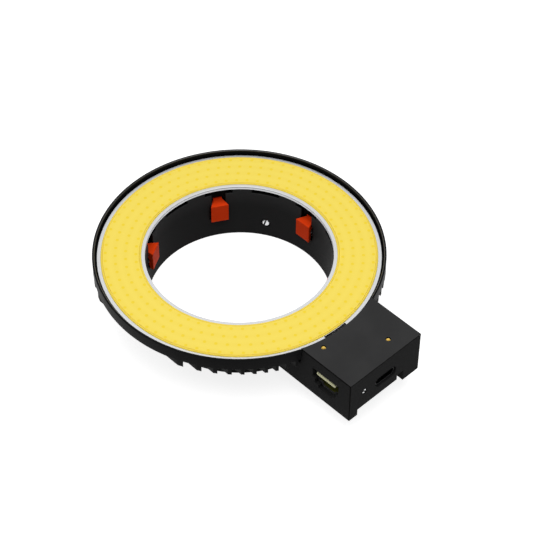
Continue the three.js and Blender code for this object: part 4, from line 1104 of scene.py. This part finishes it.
def jack_outline(margin=0.0):
    """The jack's mouth, wide above and narrow below, made smaller by a margin."""
    wide, throat, tab = (half - margin for half in (jack_mouth_half, jack_throat_half, jack_tab_half))
    step, throat_low = jack_step + margin, jack_throat_bottom + margin
    right = [
        (tab, jack_tab_bottom + margin), (tab, throat_low), (throat, throat_low), (throat, step),
        (wide, step), (wide, jack_mouth_top - margin)]
    left = [(-u, v) for u, v in reversed(right)]
    return [(jack_middle + u, v) for u, v in right + left]


box_outline = rounded(
    (0, (box_bottom + rim_top) / 2), 2 * box_half_width, rim_top - box_bottom, box_corner)
shell = prism("box_shell", box_outline, box_inner_reach, box_end, along="X")
upper_room = block(
    "upper_room", (0, -box_inside_half, box_bottom - overrun),
    (box_inside_end, box_inside_half, lid_bottom))
combine(upper_room, [cylinder("wall", wall_inside, box_bottom - 2 * overrun, rim_top, turn_steps)])
lower_room = block(
    "lower_room", (box_inner_reach + box_end_wall, -box_inside_half, box_bottom - overrun),
    (box_inside_end, box_inside_half, roof_bottom))
head_space = cylinder("head_space", rim_inner_radius, roof_top, rim_top + overrun, turn_steps)
combine(shell, [head_space, upper_room, lower_room])

runner_near, runner_far = box_inner_reach + box_end_wall / 2, box_end - box_end_wall / 2
runner_side = box_half_width - box_corner
posts = [
    moved(cylinder("post", post_radius, cover_top, top), x, y)
    for (x, y), top in zip(cover_screw_places, cover_post_tops)]
combine(shell, [
    block("runner", (runner_near, -runner_side, box_bottom), (runner_far, channel_left, cover_top)),
    block("runner", (runner_near, channel_right, box_bottom), (runner_far, runner_side, cover_top)),
    *posts], "UNION")

upright_holes = uprights(
    screw_shank_radius + pin_gap, cover_top - overrun, cover_top + cover_bite + pin_gap,
    cover_screw_places)
upright_holes += uprights(
    screw_shank_radius + fit_gap, roof_bottom - overrun, roof_top + overrun, box_screw_places)
upright_holes += uprights(
    pipe_radius + pin_gap, lid_bottom - overrun, rim_top + overrun, pipe_places.values())
end_hole = rod("hole", end_screw_radius + fit_gap, box_inside_end - overrun, box_end + overrun)
combine(shell, [
    block("channel", (box_inner_reach - overrun, channel_left, box_bottom - overrun),
          (box_end + overrun, channel_right, cover_bottom)),
    block("notch", (box_inside_end - overrun, channel_right - notch_width, cover_bottom - overrun),
          (box_end + overrun, channel_right, cover_bottom + notch_height)),
    prism("mouth", jack_outline(), -box_half_width - overrun, -box_inside_half + overrun, along="Y"),
    prism("slot", rounded((usb_offset, usb_height), usb_slot_width, usb_slot_height, usb_slot_corner),
          box_inside_end - overrun, box_end + overrun, along="X"),
    block("port", (0, lead_middle - lead_spacing, lid_bottom - lead_port_height),
          (wall_inside + overrun, lead_middle + lead_spacing, lid_bottom)),
    moved(end_hole, 0, end_screw_offset, end_screw_height), *upright_holes])
screw_lines_x = [x for x, _ in cover_screw_places[1:]]
screw_lines_y = [y for _, y in cover_screw_places[:2]]
pipe_lines_x, pipe_lines_y = zip(*pipe_places.values())
soften(shell, box_edge, sections=[
    *slices("X", *pipe_lines_x, *screw_lines_x, box_post_reach),
    *slices("Y", *pipe_lines_y, *screw_lines_y, -box_post_offset, box_post_offset, end_screw_offset,
            usb_offset)])
mount(shell, "head", "box_plastic", box_plastic, "electronics_box")

cover_low, cover_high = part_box("base_cover")
cover = block("bottom_plate", tuple(cover_low), tuple(cover_high))
combine(cover, uprights(
    screw_shank_radius + fit_gap, cover_low.z - overrun, cover_high.z + overrun, cover_screw_places))
soften(cover, box_edge, sections=slices("X", *screw_lines_x) + slices("Y", *screw_lines_y))
mount(cover, "head", "box_plastic", box_plastic, "base_cover")


# Light pipes.
# Two short rods of clear amber resin show as dots in the lid. Their domed tops are narrower than the
# holes and level with the lid.
pipe_dome, pipe_neck, pipe_shoulder = 0.00018, 0.00052, 0.0005
pipe_dome_end, pipe_dome_steps = 80, 8

amber = Finish(
    "amber_resin", Roughness=0.22, Coat_Weight=0.3, Base_Color=(0.8, 0.52, 0.085, 1),
    Specular_IOR_Level=0.2)
for node_name, (x, y) in pipe_places.items():
    dome = [
        (pipe_neck * u, rim_top - pipe_dome * (1 - v))
        for u, v in arc((0, 0), 1.0, 0, pipe_dome_end, pipe_dome_steps)]
    light_pipe = turned(node_name + "_rod", [
        (0, rim_top - pipe_length), (pipe_radius, rim_top - pipe_length),
        (pipe_radius, rim_top - pipe_shoulder), (pipe_neck, rim_top - pipe_shoulder),
        *dome, (0, rim_top)], small_turn_steps)
    shade(light_pipe)
    mount(moved(light_pipe, x, y), "head", "light_pipe_amber", amber.material, node_name)


# Modular jack.
# A black moulded socket behind the stepped mouth in the box's side, its inside dark olive. Eight gold
# wires run back from a pale carrier bar, which shows below the mouth's upper edge, a little to one side.
jack_low, jack_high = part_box("modular_jack")
jack_margin = 0.0003
jack_cavity_depth = 0.0094
jack_rim_depth = 0.0007
jack_edge = 0.00012
jack_black, jack_olive = (0.05, 0.05, 0.052, 1), (0.075, 0.08, 0.012, 1)
gold_deep, gold_pale = (0.86, 0.66, 0.24, 1), (0.93, 0.77, 0.36, 1)
carrier_cream, carrier_line = (0.92, 0.91, 0.58, 1), (0.8, 0.79, 0.49, 1)
contact_count, contact_pitch = 8, 0.00102
contact_width, contact_thickness, contact_drop = 0.00045, 0.0003, 0.0026
contact_bend, contact_reach = 0.0012, 0.0076
carrier_width, carrier_height, carrier_depth = 0.0087, 0.0013, 0.00105
carrier_setback, carrier_drop, carrier_offset = 0.00075, 0.0016, -0.00045
carrier_corner_share = 0.45

jack_resin = Finish("jack_plastic", Specular_IOR_Level=0.03)
inside_jack = jack_resin.part("Y").step(jack_low.y + jack_rim_depth / 2, jack_low.y + jack_rim_depth)
jack_color = jack_resin.blend(inside_jack, jack_black, jack_olive)
jack_plastic = jack_resin.grained(jack_color, 2200, 0.36, 0.5, mould_relief)
jack = block("jack_housing", tuple(jack_low), tuple(jack_high))
combine(jack, [prism(
    "cavity", jack_outline(jack_margin), jack_low.y - overrun, jack_low.y + jack_cavity_depth,
    along="Y")])
soften(jack, jack_edge)
mount(jack, "head", "connector_plastic", jack_plastic, "modular_jack")

gold = Finish("contact_gold", Metallic=1.0)
gold_wear = gold.noise(1800)
contact_gold = gold.surface(
    Base_Color=gold.blend(gold_wear.step(0.3, 0.7), gold_deep, gold_pale),
    Roughness=gold_wear.step(0.2, 0.8, 0.2, 0.34))
carrier_resin = Finish("carrier_resin", Roughness=0.5, Specular_IOR_Level=0.2)
mould_lines = ((carrier_resin.part("X") - jack_middle) * (2 * math.pi / contact_pitch)).calculate("SINE")
carrier_plastic = carrier_resin.surface(
    Base_Color=carrier_resin.blend(mould_lines.step(-0.6, 0.6), carrier_cream, carrier_line))
carrier_front = carrier_setback - box_half_width
carrier_back = carrier_front + carrier_depth
carrier_top = jack_mouth_top - carrier_drop
carrier_outline = rounded(
    (jack_middle + carrier_offset, carrier_top - carrier_height / 2), carrier_width, carrier_height,
    carrier_height * carrier_corner_share)
carrier = prism("contact_carrier", carrier_outline, carrier_front, carrier_back, along="Y")
soften(carrier, jack_edge)
mount(carrier, "head", "contact_gold", carrier_plastic, "jack_contacts")

wire_front = jack_low.y + fit_gap
wire_top = jack_mouth_top - jack_margin - fit_gap
wire_root = carrier_top - carrier_height / 2
wire_low = wire_top - contact_drop
one_wire = prism("contact", [
    (carrier_back - contact_thickness, wire_root), (carrier_back, wire_root - contact_thickness),
    (wire_front + contact_bend, wire_top - contact_thickness), (wire_front + contact_reach, wire_low),
    (wire_front + contact_reach, wire_low + contact_thickness), (wire_front + contact_bend, wire_top)],
    -contact_width / 2, contact_width / 2, along="X")
shade(one_wire)
wires = Pattern("contact_wires", Count=contact_count, Pitch=contact_pitch)
first_wire = Vector((jack_middle - contact_pitch * (contact_count - 1) / 2, 0, 0))
wire_line = wires.node("GeometryNodeMeshLine", {
    "Count": wires.inputs["Count"], "Start Location": first_wire,
    "Offset": wires.vector(wires.inputs["Pitch"])})
wire_copy = wires.node("GeometryNodeObjectInfo", {"Object": one_wire}, output="Geometry")
contact_row = wires.made(
    wires.node("GeometryNodeInstanceOnPoints", {"Points": wire_line, "Instance": wire_copy}),
    contact_gold)
bpy.data.objects.remove(one_wire)
mount(contact_row, "head", "contact_gold", None, "jack_contacts")


# USB socket.
# A dark plated shell with round ends in the box's end wall, and a thin black tongue in its middle.
shell_low, shell_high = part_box("usb_shell")
tongue_low, tongue_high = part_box("usb_tongue")
shell_wall = 0.0003
shell_corner_share = 0.42
tongue_width, tongue_thickness, tongue_length, root_length = 0.0066, 0.0007, 0.0052, 0.0012
usb_edge, usb_corner_steps = 0.00006, 8

plated = Finish("plated_shell", Metallic=1.0)
plated_shell = plated.grained((0.022, 0.022, 0.023, 1), 1600, 0.24, 0.38)
usb_width, usb_thickness = shell_high.y - shell_low.y, shell_high.z - shell_low.z
usb_corner = usb_thickness * shell_corner_share
usb_shell = prism("usb_sleeve", rounded(
    (usb_offset, usb_height), usb_width, usb_thickness, usb_corner, usb_corner_steps),
    shell_low.x, shell_high.x, along="X")
combine(usb_shell, [prism("hollow", rounded(
    (usb_offset, usb_height), usb_width - 2 * shell_wall, usb_thickness - 2 * shell_wall,
    usb_corner - shell_wall, usb_corner_steps),
    shell_low.x + shell_wall, shell_high.x + overrun, along="X")])
soften(usb_shell, usb_edge)
mount(usb_shell, "head", "socket_steel", plated_shell, "usb_shell")

root_width, root_height = tongue_high.y - tongue_low.y, tongue_high.z - tongue_low.z
tongue = prism("usb_blade", rounded(
    (usb_offset, usb_height), root_width, root_height, root_height * shell_corner_share,
    usb_corner_steps), tongue_low.x, tongue_low.x + root_length, along="X")
blade = block(
    "blade",
    (tongue_low.x + root_length / 2, usb_offset - tongue_width / 2, usb_height - tongue_thickness / 2),
    (tongue_low.x + tongue_length, usb_offset + tongue_width / 2, usb_height + tongue_thickness / 2))
combine(tongue, [blade], "UNION")
soften(tongue, usb_edge)
tongue_resin = Finish("tongue_plastic", Specular_IOR_Level=0.35)
tongue_plastic = tongue_resin.grained((0.02, 0.02, 0.02, 1), 2400, 0.4, 0.55)
mount(tongue, "head", "connector_plastic", tongue_plastic, "usb_tongue")


# End screw.
# A small bright slotted screw in the box's end face, a little below its surface.
screw_low, screw_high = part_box("end_screw")
end_slot_width, end_slot_depth, end_slot_turn = 0.0004, 0.00045, 35
end_screw_edge = 0.00012

end_screw = rod("end_face_screw", end_screw_radius, screw_low.x, screw_high.x, small_turn_steps)
end_slot = block(
    "slot", (screw_high.x - end_slot_depth, -2 * end_screw_radius, -end_slot_width / 2),
    (screw_high.x + overrun, 2 * end_screw_radius, end_slot_width / 2))
end_slot.data.transform(Matrix.Rotation(math.radians(-end_slot_turn), 4, "X"))
combine(end_screw, [end_slot])
soften(end_screw, end_screw_edge)
moved(end_screw, 0, end_screw_offset, end_screw_height)
mount(end_screw, "head", "fastener_steel", turned_steel_finish, "end_screw")


# Circuit board and its components.
# A green laminate board with a driver chip, a square inductor, a can capacitor and a terminal block,
# all out of sight in the box. The capacitor is turned anew, and the rest keep their CAD shapes.
laminate = Finish("circuit_laminate", Roughness=0.4, Coat_Weight=0.3)
weave = laminate.noise(900, detail=3.0)
circuit_green = laminate.surface(
    Base_Color=laminate.blend(weave.step(0.35, 0.65), (0.012, 0.07, 0.022, 1), (0.02, 0.1, 0.032, 1)))
ferrite = Finish("component_black", Specular_IOR_Level=0.35)
component_black = ferrite.grained((0.018, 0.018, 0.019, 1), 1500, 0.45, 0.65, spark_relief, 3.0)
for node_name, material in (
        ("circuit_board", circuit_green), ("controller_chip", component_black),
        ("power_inductor", component_black), ("terminal_block", component_black)):
    for material_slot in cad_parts[node_name].material_slots:
        material_slot.material = material

can_low, can_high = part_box("filter_capacitor")
can_middle = (can_low + can_high) / 2
can_radius, can_groove, can_base, groove_rise, can_round = 0.0024, 0.0002, 0.0008, 0.0016, 0.0003
can_metal = Finish("drawn_aluminium", Metallic=1.0)
can_aluminium = can_metal.grained((0.78, 0.785, 0.79, 1), 1200, 0.22, 0.36)
groove_height = can_low.z + groove_rise
can_round_steps, can_turn_steps = 4, 48
can = turned("electrolytic_can", [
    (0, can_low.z), (can_radius, can_low.z), (can_radius, groove_height - can_groove),
    (can_radius - can_groove, groove_height), (can_radius, groove_height + can_groove),
    *arc((can_radius - can_round, can_high.z - can_round), can_round, 0, 90, can_round_steps),
    (0, can_high.z)], can_turn_steps)
moved(can, can_middle.x, can_middle.y)
combine(can, [block("can_base", tuple(can_low), (can_high.x, can_high.y, can_low.z + can_base))], "UNION")
shade(can)
mount(can, "head", "capacitor_can", can_aluminium, "filter_capacitor")


# Leads.
# Two black silicone leads rise from the terminal block, bend over the box's inner wall and end in the
# light board's notch. Each is a round tube along its route.
lead_radius, lead_bend, lead_seat_depth = 0.00045, 0.0019, 0.0011
bend_steps, lead_sides = 10, 16
terminal_low, terminal_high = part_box("terminal_block")
lead_reach = (terminal_low.x + terminal_high.x) / 2
lead_height = lid_bottom - 2 * lead_radius

rubber = Finish("lead_rubber", Roughness=0.55)
lead_rubber = rubber.surface(
    Base_Color=(0.012, 0.012, 0.0125, 1), Normal=rubber.bump(rubber.noise(1400), mould_relief))


def tube(name, route, radius, sides):
    """A round tube along a route that keeps to one plane across Y."""
    shape = bmesh.new()
    rings = []
    for i, point in enumerate(route):
        before, after = route[max(i - 1, 0)], route[min(i + 1, len(route) - 1)]
        ahead = (after - before).normalized()
        side = Vector((0, 1, 0))
        up = side.cross(ahead)
        turns = [2 * math.pi * j / sides for j in range(sides)]
        offsets = [(side * math.cos(t) + up * math.sin(t)) * radius for t in turns]
        rings.append([shape.verts.new(point + offset) for offset in offsets])
    for first, second in zip(rings, rings[1:]):
        for j in range(sides):
            shape.faces.new((first[j - 1], first[j], second[j], second[j - 1]))
    shape.faces.new(rings[0])
    shape.faces.new(rings[-1])
    return shade(as_object(name, shape))


for i, shift in enumerate((-lead_spacing / 2, lead_spacing / 2), 1):
    lead_offset = lead_middle + shift
    lead_end = math.sqrt(board_radius ** 2 - lead_offset ** 2) - notch_depth + seat_gap
    bend = arc((lead_reach - lead_bend, lead_height - lead_bend), lead_bend, 0, 90, bend_steps)
    route = [(lead_reach, terminal_high.z - lead_seat_depth), *bend, (lead_end, lead_height)]
    points = [Vector((u, lead_offset, v)) for u, v in route]
    lead = tube(f"lead_wire_{i}", points, lead_radius, lead_sides)
    mount(lead, "head", "lead_rubber", lead_rubber, f"lead_{i}")
